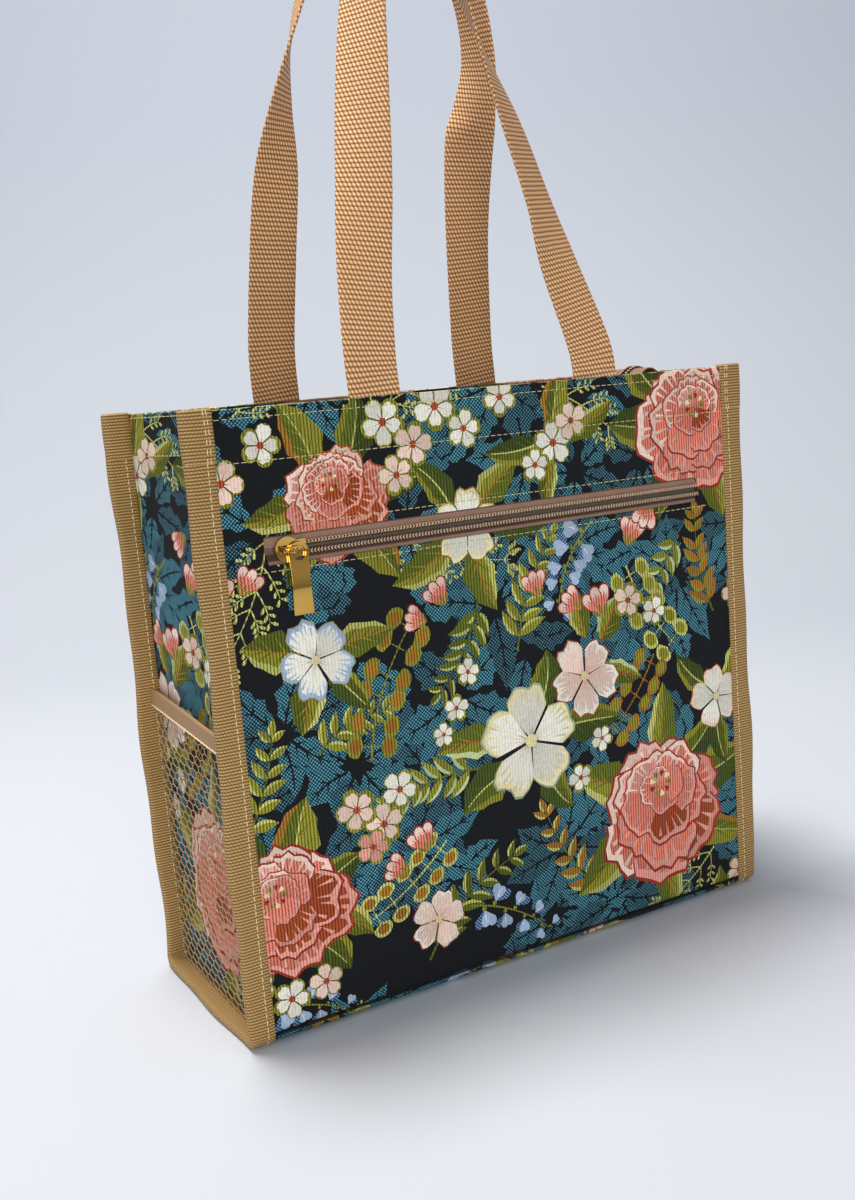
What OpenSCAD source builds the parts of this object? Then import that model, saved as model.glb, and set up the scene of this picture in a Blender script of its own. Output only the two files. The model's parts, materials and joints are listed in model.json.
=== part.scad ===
// Tapestry shopper with bound edges, webbing handles, net side pockets and two coil zips.
// Millimetres, +Z up, front towards -Y, origin on the floor under the middle of the base.

/* [Body] */
// Width of the front between its two bindings
body_w = 350; // [300:1:400]
// Depth of the body from front face to back face
body_d = 142; // [120:1:180]
// Height of the rim above the floor
body_h = 355; // [325:1:400]
// Thickness of the backed tapestry
cloth_t = 1.6; // [1.2:0.1:2]
// Height of the rolled-up front and back edges of the base
base_roll_h = 6; // [4:0.5:10]
// Radius of the lower corners of the side seams
corner_r = 9; // [7:0.5:14]
// Thickness of the lining
lining_t = 0.5; // [0.3:0.1:0.8]

/* [Rim and gussets] */
// Height of the facing inside the rim
facing_h = 27; // [20:1:35]
// Height of the turned-in top edge of the front and back panels
hem_h = 20; // [14:1:24]
// Depth of the gusset's pleat at the rim
pleat_depth = 14; // [8:1:22]
// Height where the pleat starts
pleat_z = 12; // [8:1:60]

/* [Bindings] */
// How far the bound seams stand out sideways
flange_w = 15; // [12:0.5:20]
// Thickness of the binding tape
tape_t = 1; // [0.6:0.1:1.4]
// How far the binding laps onto the front and back panels
binding_lap = 1; // [0.5:0.5:3]
// Length of the tape ends that are turned over at the top
tab_h = 27; // [20:1:40]

/* [Side nets] */
// Height of the net's top edge at the back
net_back_h = 184; // [150:1:220]
// Height of the net's top edge at the front
net_front_h = 175; // [140:1:210]
// Distance of the net out from the gusset
net_gap = 4.5; // [3:0.5:6]
// Thickness of the net
net_t = 1; // [0.6:0.1:1.4]
// Distance between the middles of neighbouring net holes
net_pitch = 15.5; // [14:0.5:24]
// Width of the net's strands
net_strand = 2; // [1.2:0.1:3]
// Height of the folded band along the net's top
net_band_h = 11; // [8:1:16]
// Thickness of the folded band's cloth
net_band_t = 0.8; // [0.5:0.1:1.2]

/* [Handles] */
// Width of the handle webbing
handle_w = 32; // [25:1:40]
// Thickness of the handle webbing
handle_t = 1.6; // [1.2:0.1:2.4]
// Distance between the middles of one handle's two feet
handle_spread = 152; // [120:1:180]
// Length of the feet below the rim
handle_foot_h = 21; // [15:1:26]
// Height of the front handle's top above the rim
front_handle_rise = 306; // [240:1:340]
// Height of the back handle's top above the rim
back_handle_rise = 296; // [240:1:340]

/* [Front pocket] */
// Drop of the middle of the front zip below the rim
zip_drop = 77; // [60:1:120]
// Length of the slit in the front panel
slit_w = 304; // [240:1:320]
// Height of the slit
slit_h = 17; // [15:0.5:22]
// Depth of the pouch below the zip
pouch_h = 170; // [100:1:230]
// Thickness of the pouch cloth
pouch_t = 0.45; // [0.3:0.05:0.6]

/* [Zips] */
// Width of each half of a zip tape
zip_tape_w = 15; // [12.5:0.5:20]
// Thickness of the zip tape
zip_tape_t = 0.8; // [0.5:0.1:1]
// Distance between coil teeth
coil_pitch = 3; // [2.4:0.2:4]
// Height of the coil above the tape
coil_t = 2; // [1.6:0.1:2.4]
// Width of one coil row from the middle of the zip
coil_w = 2.9; // [2.6:0.1:3.4]
// Length of the slider body
slider_l = 18; // [16:0.5:22]
// Radius of the slider's round end
slider_r = 7; // [6:0.25:7.5]
// Width of the pull at its free end
pull_w = 12; // [10:0.5:14]
// Length of the pull from its hole to its free end
pull_l = 34; // [26:1:44]
// Thickness of the pull
pull_t = 1.3; // [1:0.1:1.5]

/* [Top zip] */
// Distance of the closed tail from the bag's middle, towards the front
tail_y = 30; // [0:1:35]
// Drop of the closed tail below the rim
tail_drop = 9; // [6:1:14]
// Rise of the tail's arch above its straight part
tail_arch = 12; // [4:1:16]
// Place of the slider along the width at rest
top_slider_x = 90; // [76:1:94]

/* [Hidden] */
$fn = 48;

TAPESTRY = "#33505a";
FACING = "#3c5c62";
LINING = "#8c7a64";
BINDING = "#b58f55";
NET = "#b3926a";
NET_BAND = "#a67f58";
WEBBING = "#c49a6c";
ZIP_TAPE = "#7d6050";
COIL = "#3a2d20";
GOLD = "#b8862f";

// Gap that keeps touching layers apart, and the running gap of moving pieces
layer_gap = 0.1;
run_gap = 0.3;

// Places of the layers, as distances from the middle
half_w = body_w / 2;
face_y = body_d / 2;
back_of_cloth_y = face_y - cloth_t;
rim_gap = max(cloth_t, handle_t) + layer_gap;
facing_y = back_of_cloth_y - rim_gap;
facing_inner_y = facing_y - cloth_t;
facing_end_x = half_w - 2 * cloth_t - 1;
hem_end_x = half_w - cloth_t - 0.6;
flange_x = half_w + flange_w;
seam_x = flange_x - tape_t;

// Side seams: outer tape, panel, gusset, inner tape, counted inwards from the outside
seam_half_d = face_y + tape_t;
panel_layer = tape_t;
gusset_layer = panel_layer + cloth_t;
inner_tape_layer = gusset_layer + cloth_t;
seam_stack = inner_tape_layer + tape_t;
pleat_y = seam_half_d - seam_stack;

// Zip seen across: heights are above the tape's face
zip_z = body_h - zip_drop;
post_half = 1;
tape_gap = post_half + run_gap + layer_gap;
slider_roof = coil_t + run_gap + layer_gap;
slider_top = slider_roof + 1.3;
slider_floor = -zip_tape_t - run_gap;
slider_bottom = slider_floor - 1;
tunnel_h = pull_t + 0.9;
bridge_h = 1.4;
bridge_half = 1.4;
bridge_leg = 2;
bridge_rim = 1.2;
slot_half = 0.7;
bridge_x1 = -5.8;
bridge_x2 = 4.7;
pull_hole_r = 4.2;
pull_ring_w = 1.8;
pull_hang = 2.3;
pivot_x = bridge_x2 - bridge_leg / 2;
post_x = 0.8 - slider_l / 2;
post_l = 3;
slider_x = 15 - slit_w / 2;
coil_x1 = slider_x + post_x + post_l + run_gap;
coil_x2 = slit_w / 2 - 2;
tape_end_x = slit_w / 2 + 4;

// Pouch and lining behind the front zip
pouch_back_y = back_of_cloth_y + slider_bottom - run_gap;
lining_y = min(facing_inner_y + 0.3, pouch_back_y - pouch_t - layer_gap);
pouch_bottom_z = zip_z - pouch_h;
pouch_half_w = slit_w / 2 + 3;

// Top zip
tail_z = body_h - tail_drop;
tail_lead = 3;
tail_x1 = top_slider_x - slider_l / 2 - tail_lead;
tail_arch_x1 = top_slider_x + slider_l / 2 + 18;
tail_x2 = half_w - 2 * cloth_t - pleat_depth - 0.5;
rim_tape_y = facing_inner_y - zip_tape_t / 2 - layer_gap;
rim_tape_z = body_h - zip_tape_w / 2 - 0.5;

// Routes of the handles: share of the spread, place across the depth as a share of the foot's,
// share of the rise, and turn of the webbing in degrees
front_route = [
  [-0.500, 1.00, 0.000, 0], [-0.500, 0.97, 0.080, -1], [-0.465, 0.85, 0.220, -8],
  [-0.400, 0.70, 0.395, -28], [-0.340, 0.55, 0.565, -47], [-0.270, 0.41, 0.745, -66],
  [-0.195, 0.31, 0.890, -80], [-0.105, 0.27, 0.980, -89], [-0.010, 0.26, 1.000, -90],
  [0.070, 0.28, 0.940, -92], [0.135, 0.34, 0.820, -104], [0.220, 0.46, 0.650, -128],
  [0.295, 0.60, 0.500, -146], [0.365, 0.74, 0.340, -154], [0.410, 0.84, 0.220, -170],
  [0.485, 0.97, 0.070, -179], [0.500, 1.00, 0.000, -180]
];
back_route = [
  [-0.500, 1.00, 0.000, 0], [-0.515, 0.92, 0.115, 0], [-0.500, 0.76, 0.305, 2],
  [-0.480, 0.63, 0.455, 10], [-0.455, 0.50, 0.590, 44], [-0.400, 0.39, 0.730, 72],
  [-0.290, 0.30, 0.880, 84], [-0.120, 0.25, 0.985, 89], [0.060, 0.25, 1.000, 90],
  [0.260, 0.28, 0.940, 91], [0.400, 0.34, 0.830, 92], [0.460, 0.42, 0.700, 98],
  [0.450, 0.51, 0.600, 118], [0.430, 0.58, 0.520, 152], [0.430, 0.72, 0.340, 176],
  [0.470, 0.92, 0.115, 180], [0.500, 1.00, 0.000, 180]
];
ROUTE_STEPS = 4;

// Route of the open half tapes from the rim to the tail: place along the width, share of the way
// from the rim to the tail, sag below the rim tape, and turn of the tape from upright to flat
opening_route = [
  [-158, 0.00, 6, 0], [-110, 0.00, 4, 0], [-64, 0.00, 0, 0], [-20, 0.00, 0, 0], [14, 0.00, 0, 0],
  [30, 0.10, 3, 8], [44, 0.40, 8, 25], [54, 0.72, 10, 50], [62, 0.94, 6, 78]
];

// Helpers: solids drawn from a side view or a front view
module along_x(x1, x2) {
  translate([x1, 0, 0]) rotate([90, 0, 90]) linear_extrude(x2 - x1) children();
}
module along_y(y1, y2) {
  translate([0, y2, 0]) rotate([90, 0, 0]) linear_extrude(y2 - y1) children();
}

// Side view of the bag inside the outermost tape, drawn in by a distance
module side_view(inset) {
  r = max(corner_r - inset, 0.6);
  hw = seam_half_d - inset;
  top = body_h + 20;
  translate([-hw, inset + r]) square([2 * hw, top - inset - r]);
  translate([-hw + r, inset]) square([2 * (hw - r), r + 1]);
  for (side = [-1, 1]) translate([side * (hw - r), inset + r]) circle(r);
}

// One layer of the side seam between two distances from the outside and two heights
module seam_layer(from, to, z1, z2) {
  intersection() {
    difference() {
      side_view(from);
      side_view(to);
    }
    translate([-seam_half_d - 5, z1]) square([2 * seam_half_d + 10, z2 - z1]);
  }
}

// Sheet with the gusset's pleat between two heights; x is its outer face, half_d its half depth
function pleat_share(z) = max(0.02, (z - pleat_z) / (body_h - pleat_z));
function pleat_line(x, half_d, z) = [
  [x, -half_d, z], [x, -pleat_y * pleat_share(z), z], [x + pleat_depth * pleat_share(z), 0, z],
  [x, pleat_y * pleat_share(z), z], [x, half_d, z]
];
module pleated_sheet(x, t, half_d, z1, z2) {
  rings = [
    pleat_line(x, half_d, z1), pleat_line(x, half_d, z2),
    pleat_line(x + t, half_d, z2), pleat_line(x + t, half_d, z1)
  ];
  n = 5;
  polyhedron([for (i = [0:n - 1]) for (ring = rings) ring[i]], tube_faces(n));
}

// Faces of a closed bar of n four-sided sections; opposite sides are split along the same diagonal
function tube_faces(n) = concat(
  [[2, 1, 0], [3, 2, 0]],
  [for (i = [0:n - 2]) for (k = [0:3]) let (a = i * 4 + k, b = i * 4 + (k + 1) % 4)
    for (face = k < 2 ? [[a, b, b + 4], [a, b + 4, a + 4]] : [[a, b, a + 4], [b, b + 4, a + 4]]) face],
  [[4 * n - 4, 4 * n - 3, 4 * n - 2], [4 * n - 4, 4 * n - 2, 4 * n - 1]]
);

// Whole pleated wall from below the pleat's start, with its lower corners cut off
module pleated_wall(x, t, half_d, z1, z2, cut) {
  share = pleat_share(z2);
  outline = [
    [0, cut - half_d, z1], [0, half_d - cut, z1], [0, half_d, z1 + cut], [0, half_d, z2],
    [0, pleat_y * share, z2], [pleat_depth * share, 0, z2], [0, -pleat_y * share, z2],
    [0, -half_d, z2], [0, -half_d, z1 + cut], [0, 0, pleat_z]
  ];
  n = len(outline);
  skin = [
    [0, 1, 9], [1, 2, 9], [2, 3, 9], [3, 4, 9], [4, 5, 9], [5, 6, 9], [6, 7, 9], [7, 8, 9], [8, 0, 9]
  ];
  points = concat([for (p = outline) p + [x, 0, 0]], [for (p = outline) p + [x + t, 0, 0]]);
  outer = [for (f = skin) [f[0], f[1], f[2]]];
  inner = [for (f = skin) [n + f[2], n + f[1], n + f[0]]];
  edge = [for (i = [0:n - 2]) let (j = (i + 1) % (n - 1))
    for (face = [[i, n + i, n + j], [i, n + j, j]]) face];
  polyhedron(points, concat(outer, inner, edge));
}

// Flat ribbon swept along stations, each a place and a direction across the ribbon
function unit(v) = v / norm(v);
function tangent(st, i) = unit(st[min(i + 1, len(st) - 1)][0] - st[max(i - 1, 0)][0]);
function across(st, i) = unit(st[i][1] - (st[i][1] * tangent(st, i)) * tangent(st, i));
module ribbon(stations, w, t) {
  n = len(stations);
  points = [for (i = [0:n - 1])
    let (side = across(stations, i) * w / 2, up = cross(tangent(stations, i), across(stations, i)) * t / 2)
    for (corner = [side + up, up - side, -side - up, side - up]) stations[i][0] + corner];
  polyhedron(points, tube_faces(n));
}

// Smooth curve through hand-placed points
function curve_point(a, b, c, d, s) =
  0.5 * (2 * b + (c - a) * s + (2 * a - 5 * b + 4 * c - d) * s * s + (3 * b - a - 3 * c + d) * s * s * s);
function curve(p, steps) = [
  for (i = [0:len(p) - 2]) for (k = [0:steps - 1])
    curve_point(p[max(i - 1, 0)], p[i], p[i + 1], p[min(i + 2, len(p) - 1)], k / steps),
  p[len(p) - 1]
];

module front_panel() {
  color(TAPESTRY) {
    along_y(-face_y, -back_of_cloth_y) difference() {
      panel_outline();
      translate([-slit_w / 2, zip_z - slit_h / 2]) square([slit_w, slit_h]);
    }
    rotate([0, 0, 180]) turned_hem();
  }
}

module back_panel() {
  color(TAPESTRY) {
    along_y(back_of_cloth_y, face_y) panel_outline();
    turned_hem();
  }
}

// Front view of a panel; its flanges end above the round corners of the side seams
module panel_outline() {
  lap_x = half_w - binding_lap;
  translate([-lap_x, base_roll_h]) square([2 * lap_x, body_h - base_roll_h]);
  translate([-seam_x, corner_r]) square([2 * seam_x, body_h - corner_r]);
}

// Turned-in top edge of the back panel, open where the handle's feet go in
module turned_hem() {
  along_y(back_of_cloth_y - cloth_t, back_of_cloth_y + cloth_t / 2) difference() {
    translate([-hem_end_x, body_h - hem_h]) square([2 * hem_end_x, hem_h]);
    for (side = [-1, 1])
      translate([side * handle_spread / 2 - handle_w / 2 - 0.5, body_h - hem_h - 1])
        square([handle_w + 1, hem_h + 2]);
  }
}

// Base with rolled-up edges; its ends step up by the tape's thickness into the side seams
module base_panel() {
  step_x = half_w - binding_lap;
  color(TAPESTRY) {
    along_x(-step_x, step_x) base_view(0);
    for (flip = [0, 1]) mirror([flip, 0, 0]) along_x(step_x - cloth_t, seam_x) base_view(tape_t);
  }
}
module base_view(step) {
  r = corner_r - tape_t;
  intersection() {
    difference() {
      base_outline(step, face_y, r);
      base_outline(step + cloth_t, back_of_cloth_y, r - cloth_t);
    }
    translate([-face_y, 0]) square([body_d, base_roll_h]);
  }
}
module base_outline(z, hw, r) {
  translate([-hw, z + r]) square([2 * hw, 40]);
  translate([-hw + r, z]) square([2 * (hw - r), r + 1]);
  for (side = [-1, 1]) translate([side * (hw - r), z + r]) circle(r);
}

// Gusset with its pleat and the edges that turn out into the side seams
module gusset() {
  corner_cut = 0.8 * (corner_r - gusset_layer);
  color(TAPESTRY) {
    pleated_wall(-half_w, cloth_t, back_of_cloth_y - 0.2, gusset_layer + 0.2, body_h, corner_cut);
    along_x(-seam_x, cloth_t / 2 - half_w) seam_layer(gusset_layer, inner_tape_layer, 0, body_h - 0.2);
  }
}
module left_gusset() { gusset(); }
module right_gusset() { mirror([1, 0, 0]) gusset(); }

// Facings: a band inside each wall of the rim
module facing_band() {
  color(FACING) along_y(facing_inner_y, facing_y)
    translate([-facing_end_x, body_h - facing_h]) square([2 * facing_end_x, facing_h]);
}
module side_facing() {
  color(FACING)
    pleated_sheet(cloth_t - half_w, cloth_t, facing_y - layer_gap, body_h - facing_h, body_h);
}
module front_facing() { rotate([0, 0, 180]) facing_band(); }
module back_facing() { facing_band(); }
module left_facing() { side_facing(); }
module right_facing() { mirror([1, 0, 0]) side_facing(); }

// Lining: an open box that hangs below the facings and follows the pleats
module lining() {
  lining_x = half_w - cloth_t - layer_gap;
  lining_z = tape_t + cloth_t + layer_gap;
  bite = lining_t / 4;
  color(LINING) {
    for (turn = [0, 180]) rotate([0, 0, turn])
      along_y(lining_y - lining_t, lining_y)
        translate([bite - lining_x, lining_z]) square([2 * (lining_x - bite), body_h - facing_h - lining_z]);
    translate([bite - lining_x, bite - lining_y, lining_z + bite])
      cube([2 * (lining_x - bite), 2 * (lining_y - bite), lining_t]);
    for (flip = [0, 1]) mirror([flip, 0, 0])
      pleated_wall(-lining_x, lining_t, lining_y - bite, lining_z + 2 * bite, body_h - facing_h - bite, 1);
  }
}

// Binding: tape folded round the seam, with its two ends turned over at the top
module side_binding() {
  fold_x = -flange_x + tape_t;
  lap_x = binding_lap - half_w;
  tab_z = body_h - tab_h;
  top_z = body_h + tape_t;
  color(BINDING) {
    along_x(-flange_x, lap_x) seam_layer(0, tape_t, 0, body_h);
    along_x(-flange_x, -half_w) seam_layer(inner_tape_layer, seam_stack, 0, body_h);
    along_x(-flange_x, fold_x) seam_layer(0, seam_stack, 0, body_h);
    along_x(-flange_x, lap_x) seam_layer(-tape_t, tape_t / 2, tab_z, top_z);
    along_x(-flange_x, -half_w) seam_layer(inner_tape_layer + tape_t / 2, seam_stack + tape_t, tab_z, top_z);
    along_x(-flange_x, -half_w) seam_layer(-tape_t, seam_stack + tape_t, body_h, top_z);
  }
}
module left_binding() { side_binding(); }
module right_binding() { mirror([1, 0, 0]) side_binding(); }

// Net: a flat sheet of six-sided holes that hangs between the inner leaves of the binding
net_x = half_w + net_gap;
function net_top(y) = net_front_h + (net_back_h - net_front_h) * (y + pleat_y) / (2 * pleat_y);
module net_outline(margin) {
  intersection() {
    side_view(seam_stack + margin);
    polygon([
      [-seam_half_d, 0], [seam_half_d, 0],
      [seam_half_d, net_top(seam_half_d) - margin], [-seam_half_d, net_top(-seam_half_d) - margin]
    ]);
  }
}
module side_net() {
  row_h = net_pitch * sqrt(3) / 2;
  cols = ceil(body_d / net_pitch / 2) + 1;
  rows = ceil(net_back_h / row_h);
  hole_r = (net_pitch - net_strand) / sqrt(3);
  edge = hole_r + net_strand;
  color(NET) along_x(-net_x - net_t, -net_x) difference() {
    net_outline(0);
    for (row = [0:rows]) for (col = [-cols:cols]) {
      y = (col + (row % 2) / 2) * net_pitch;
      z = seam_stack + edge + row * row_h;
      if (abs(y) < pleat_y - edge && z < net_top(y) - net_band_h - edge)
        translate([y, z]) rotate(30) circle(hole_r, $fn = 6);
    }
  }
}
module left_net() { side_net(); }
module right_net() { mirror([1, 0, 0]) side_net(); }

// Band folded over the net's top edge
module net_band() {
  color(NET_BAND) difference() {
    along_x(-net_x - net_t - net_band_t, -net_x + net_band_t) polygon([
      [-pleat_y, net_top(-pleat_y) - net_band_h], [pleat_y, net_top(pleat_y) - net_band_h],
      [pleat_y, net_top(pleat_y) + net_band_t], [-pleat_y, net_top(-pleat_y) + net_band_t]
    ]);
    along_x(-net_x - net_t, -net_x) net_outline(0);
  }
}
module left_net_band() { net_band(); }
module right_net_band() { mirror([1, 0, 0]) net_band(); }

// Handles: webbing swept along its route, feet held between panel and facing
handle_y = back_of_cloth_y - rim_gap / 2;
function handle_stations(route, rise, front) =
  let (
    foot = [[route[0][0], 1, -handle_foot_h / rise, route[0][3]]],
    foot_end = [[route[len(route) - 1][0], 1, -handle_foot_h / rise, route[len(route) - 1][3]]],
    smooth = concat(foot, curve(route, ROUTE_STEPS), foot_end)
  )
  [for (p = smooth) [
    [p[0] * handle_spread, p[1] * handle_y * (front ? -1 : 1), body_h + p[2] * rise],
    [cos(p[3]), sin(p[3]), 0]
  ]];
module front_handle() {
  color(WEBBING) ribbon(handle_stations(front_route, front_handle_rise, true), handle_w, handle_t);
}
module back_handle() {
  color(WEBBING) ribbon(handle_stations(back_route, back_handle_rise, false), handle_w, handle_t);
}

// Front zip: tapes behind the slit, coils whose teeth mesh across the middle
module zip_strip(z1, z2) {
  color(ZIP_TAPE) along_y(-back_of_cloth_y, zip_tape_t - back_of_cloth_y)
    translate([-tape_end_x, zip_z + z1]) square([2 * tape_end_x, z2 - z1]);
}
module front_zip_upper_tape() { zip_strip(tape_gap, zip_tape_w + tape_gap); }
module front_zip_lower_tape() { zip_strip(-zip_tape_w - tape_gap, -tape_gap); }

module coil_row(shift) {
  tooth_w = coil_pitch / 2 - 0.2;
  root = coil_w - 1.5;
  tip = -0.9;
  count = floor((coil_x2 - coil_x1 - coil_pitch) / coil_pitch);
  teeth = [for (i = [0:count - 1]) let (x = coil_x1 + shift + i * coil_pitch)
    for (p = [[x, root], [x, tip], [x + tooth_w, tip], [x + tooth_w, root]]) p];
  color(COIL) along_y(-back_of_cloth_y - coil_t, -back_of_cloth_y)
    polygon(concat([[coil_x1, coil_w], [coil_x1, root]], teeth, [[coil_x2, root], [coil_x2, coil_w]]));
}
module front_zip_upper_coil() { translate([0, 0, zip_z]) coil_row(0.1); }
module front_zip_lower_coil() { translate([0, 0, zip_z]) mirror([0, 0, 1]) coil_row(0.1 + coil_pitch / 2); }

// Slider drawn on the zip's own plane: x along the zip, y across it, z out of its face
module slider_plan(inset) {
  translate([slider_r - slider_l / 2, 0]) circle(slider_r - inset);
  translate([0, -slider_r * 0.68 + inset]) square([slider_l / 2 - inset, 2 * (slider_r * 0.68 - inset)]);
}
module zip_slider() {
  flange_y = coil_w + run_gap + 0.2;
  sink = 0.2;
  color(GOLD) {
    translate([0, 0, slider_roof]) linear_extrude(slider_top - slider_roof) slider_plan(0);
    translate([0, 0, slider_bottom]) linear_extrude(slider_floor - slider_bottom) slider_plan(0.8);
    for (side = [-1, 1]) translate([-2, side * (flange_y + 0.6) - 0.6, run_gap])
      cube([slider_l / 2 + 2, 1.2, slider_roof - run_gap + 0.5]);
    translate([post_x, -post_half, slider_bottom + 0.2]) cube([post_l, 2 * post_half, slider_top - slider_bottom - 0.4]);
    difference() {
      translate([bridge_x1, -bridge_half, slider_top - sink])
        cube([bridge_x2 - bridge_x1, 2 * bridge_half, tunnel_h + bridge_h + sink]);
      translate([bridge_x1 + bridge_leg, -bridge_half - 1, slider_top])
        cube([bridge_x2 - bridge_x1, 2 * bridge_half + 2, tunnel_h]);
      translate([bridge_x1 + bridge_rim, -slot_half, slider_top + tunnel_h - 1])
        cube([bridge_x2 - bridge_x1 - 2 * bridge_rim, 2 * slot_half, bridge_h + 2]);
    }
    translate([pivot_x, 0, slider_top - sink]) cylinder(r = bridge_leg / 2, h = tunnel_h + bridge_h);
  }
}

// Pull: a flat waisted plate whose round hole hangs on the bridge's right leg
module zip_pull() {
  ring_r = pull_hole_r + pull_ring_w;
  color(GOLD) translate([pivot_x, -pull_hang, slider_top + (tunnel_h - pull_t) / 2 + 0.05])
    linear_extrude(pull_t) difference() {
      union() {
        circle(ring_r);
        polygon([
          [-ring_r, 0], [-ring_r * 0.9, -pull_l * 0.45], [-pull_w / 2, -pull_l],
          [pull_w / 2, -pull_l], [ring_r * 0.9, -pull_l * 0.45], [ring_r, 0]
        ]);
      }
      circle(pull_hole_r);
    }
}
module on_front_zip() {
  translate([slider_x, -back_of_cloth_y, zip_z]) rotate([90, 0, 0]) children();
}
module front_zip_slider() { on_front_zip() zip_slider(); }
module front_zip_pull() { on_front_zip() zip_pull(); }

// Pouch behind the front zip: a folded sheet hung from both tapes, closed at its ends
module front_pouch() {
  front_y = back_of_cloth_y - zip_tape_t;
  inner_y = pouch_back_y - pouch_t;
  top_z = zip_z + zip_tape_w + tape_gap;
  step_z = top_z - 4;
  lip_z = zip_z - tape_gap - zip_tape_w + 4;
  color(LINING) {
    along_x(-pouch_half_w, pouch_half_w) polygon([
      [-front_y, top_z], [pouch_t - front_y, top_z], [pouch_t - front_y, step_z],
      [-inner_y, step_z - 2], [-inner_y, pouch_bottom_z], [-front_y, pouch_bottom_z],
      [-front_y, lip_z], [pouch_t - front_y, lip_z],
      [pouch_t - front_y, pouch_bottom_z + pouch_t], [-pouch_back_y, pouch_bottom_z + pouch_t],
      [-pouch_back_y, step_z - 2], [-front_y, step_z]
    ]);
    for (side = [-1, 1]) translate([side * (pouch_half_w - pouch_t / 2) - pouch_t / 2, -front_y, pouch_bottom_z])
      cube([pouch_t, front_y - inner_y, lip_z - pouch_bottom_z]);
  }
}

// Top zip: each half tape runs along the rim, leaves it and joins the other half in the tail
function tail_height(x) = x < tail_arch_x1 ? tail_z
  : tail_z + tail_arch * pow(sin(180 * (x - tail_arch_x1) / (tail_x2 - tail_arch_x1)), 2);
function half_tape_stations(side) =
  let (
    tail_mid = -tail_y + side * (tape_gap + zip_tape_w / 2),
    rim_mid = side * rim_tape_y,
    rim_part = [for (p = curve(opening_route, ROUTE_STEPS)) [
      [p[0], rim_mid + (tail_mid - rim_mid) * max(p[1], 0), rim_tape_z - p[2]],
      [0, side * sin(p[3]), cos(p[3])]
    ]],
    tail_xs = concat([tail_x1, tail_x1 + tail_lead, top_slider_x, tail_arch_x1],
      [for (k = [1:10]) tail_arch_x1 + (tail_x2 - tail_arch_x1) * k / 10]),
    tail_part = [for (x = tail_xs) [[x, tail_mid, tail_height(x) - zip_tape_t / 2], [0, side, 0]]]
  )
  concat(rim_part, tail_part);
function beside(st, offset, lift) = [for (i = [0:len(st) - 1]) [
  st[i][0] + across(st, i) * offset + cross(tangent(st, i), across(st, i)) * lift, st[i][1]
]];
module half_tape(side) {
  color(ZIP_TAPE) ribbon(half_tape_stations(side), zip_tape_w, zip_tape_t);
}
module half_coil(side) {
  row_w = coil_w - tape_gap;
  coil_lift = (zip_tape_t + coil_t) / 2 + 2 * layer_gap;
  color(COIL) ribbon(
    beside(half_tape_stations(side), -zip_tape_w / 2 + row_w / 2, side * coil_lift),
    row_w, coil_t
  );
}
module top_zip_front_tape() { half_tape(-1); }
module top_zip_back_tape() { half_tape(1); }
module top_zip_front_coil() { half_coil(-1); }
module top_zip_back_coil() { half_coil(1); }
module on_top_zip() {
  translate([top_slider_x, -tail_y, tail_z]) children();
}
module top_zip_slider() { on_top_zip() zip_slider(); }
module top_zip_pull() {
  on_top_zip() translate([pivot_x, 0, 0]) rotate(180) translate([-pivot_x, 0, 0]) zip_pull();
}

front_panel();
back_panel();
base_panel();
left_gusset();
right_gusset();
front_facing();
back_facing();
left_facing();
right_facing();
lining();
left_binding();
right_binding();
left_net();
right_net();
left_net_band();
right_net_band();
front_handle();
back_handle();
front_zip_upper_tape();
front_zip_lower_tape();
front_zip_upper_coil();
front_zip_lower_coil();
front_zip_slider();
front_zip_pull();
front_pouch();
top_zip_front_tape();
top_zip_back_tape();
top_zip_front_coil();
top_zip_back_coil();
top_zip_slider();
top_zip_pull();
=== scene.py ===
import cmath
import json
import math
import random

import bmesh
import bpy
import numpy as np
from mathutils import Matrix, Vector
from mathutils.geometry import delaunay_2d_cdt

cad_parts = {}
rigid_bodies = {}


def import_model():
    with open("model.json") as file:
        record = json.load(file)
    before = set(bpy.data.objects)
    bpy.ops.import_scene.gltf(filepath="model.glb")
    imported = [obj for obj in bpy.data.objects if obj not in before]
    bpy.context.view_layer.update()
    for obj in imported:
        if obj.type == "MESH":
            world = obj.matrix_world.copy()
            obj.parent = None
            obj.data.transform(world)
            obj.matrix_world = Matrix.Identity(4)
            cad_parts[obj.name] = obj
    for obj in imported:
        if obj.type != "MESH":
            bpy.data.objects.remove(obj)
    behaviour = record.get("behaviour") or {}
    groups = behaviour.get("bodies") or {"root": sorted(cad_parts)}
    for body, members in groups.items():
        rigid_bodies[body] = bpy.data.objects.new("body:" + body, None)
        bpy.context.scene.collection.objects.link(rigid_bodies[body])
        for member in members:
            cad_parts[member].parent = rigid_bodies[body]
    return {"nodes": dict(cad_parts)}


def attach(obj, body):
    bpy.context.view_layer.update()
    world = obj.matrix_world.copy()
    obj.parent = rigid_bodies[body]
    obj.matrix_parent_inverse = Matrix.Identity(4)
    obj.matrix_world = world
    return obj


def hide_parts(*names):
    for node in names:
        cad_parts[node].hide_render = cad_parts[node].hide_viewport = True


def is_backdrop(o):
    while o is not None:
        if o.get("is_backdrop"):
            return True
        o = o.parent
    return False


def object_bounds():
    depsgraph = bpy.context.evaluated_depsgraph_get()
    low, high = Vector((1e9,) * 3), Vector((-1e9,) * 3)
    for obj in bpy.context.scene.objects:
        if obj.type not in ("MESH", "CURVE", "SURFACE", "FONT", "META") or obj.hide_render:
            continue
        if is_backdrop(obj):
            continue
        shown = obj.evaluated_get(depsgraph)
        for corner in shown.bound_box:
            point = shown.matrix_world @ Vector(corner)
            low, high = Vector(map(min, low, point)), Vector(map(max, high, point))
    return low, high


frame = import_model()
cad_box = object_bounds()

# All lengths are millimetres unless a name says otherwise.
MM = 0.001

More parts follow.
